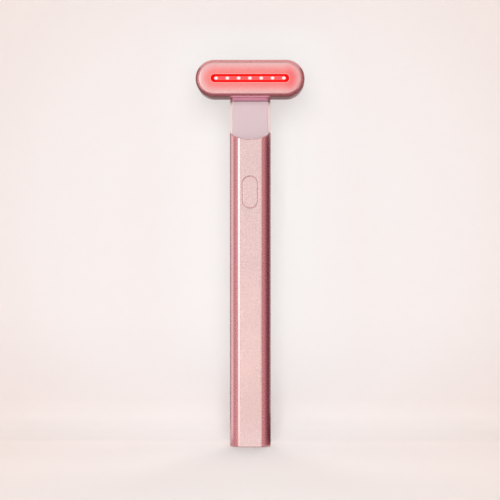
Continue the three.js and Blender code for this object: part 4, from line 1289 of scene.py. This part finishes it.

# The flat colours are painted sheen, the side colours painted shade
rose = anodised("rose_metal_grain_and_painted_sheen", flat_colour=srgb(242, 210, 208), side_colour=srgb(226, 160, 164),
                roughness=0.27)
head_rose = anodised("head_metal_grain_and_painted_sheen", flat_colour=srgb(240, 190, 189), side_colour=srgb(226, 161, 162),
                     roughness=0.28, grain=0.25)
neck_tint = satin("neck_satin_coat", flat_colour=srgb(212, 190, 195), side_colour=srgb(246, 222, 220),
                  roughness=0.2, flat_metallic=0.15, heights=NECK_PAINTED_SHADE_HEIGHTS, painted_top_shading=NECK_TOP_PAINTED_SHADE)
collar_tint = satin("collar_satin", flat_colour=srgb(178, 130, 146), side_colour=srgb(212, 134, 142),
                    roughness=0.3, flat_metallic=0.8, heights=COLLAR_PAINTED_LIGHT_HEIGHTS,
                    painted_top_shading=COLLAR_TOP_PAINTED_LIGHT)
port_steel = moulded("port_steel_drawn", (0.56, 0.56, 0.57), roughness=0.28, metallic=1.0, grain=0.08)
black = moulded("black_moulding", (0.02, 0.02, 0.022), roughness=0.45)

handle_tube(rose)
end_cap(rose)
power_button(rose)
port_shell(port_steel)
port_tongue(black)
neck(neck_tint)
collar(collar_tint)
head_rim(head_rose)
head_back(head_rose)
treatment_plate(glowing_plate("plate_painted_glow"))
light_window(painted_glow_lens("lens_painted_glow"))

carry(moulded("board_mask", (0.028, 0.147, 0.07), roughness=0.4, grain_scale=900),
      "port_board", "main_board", "led_board")
carry(moulded("grey_moulding", (0.27, 0.265, 0.265), roughness=0.5), "chassis")
carry(moulded("cell_film", (0.07, 0.16, 0.38), roughness=0.3, grain_scale=500, variation=0.04, grain=0.05),
      "battery")
carry(moulded("plain_steel", (0.48, 0.49, 0.5), roughness=0.3, metallic=1.0, grain=0.1),
      "board_screw_lower", "board_screw_upper", "thrust_washer", "retaining_nut", "swivel_pivot",
      "plate_contact", "head_screw_left", "head_screw_right", "motor_can", "motor_shaft",
      "eccentric_weight")
carry(black, "controller_chip", "switch_body")
carry(moulded("white_moulding", (0.8, 0.77, 0.76), roughness=0.45),
      "head_connector", "switch_plunger", "led_reflector")
carry(moulded("matt_rubber", (0.02, 0.019, 0.019), roughness=0.75, grain_scale=1100, variation=0.1,
              grain=0.4), "friction_ring", "motor_boot")
carry(moulded("amber_film", (0.48, 0.17, 0.025), roughness=0.35, grain_scale=600, grain=0.06), "heater_film")
carry(glowing_lamp("lamp_glow"), *(f"led_{number}" for number in LAMP_NUMBERS))

stage()
flags()
world()
lights()
camera()
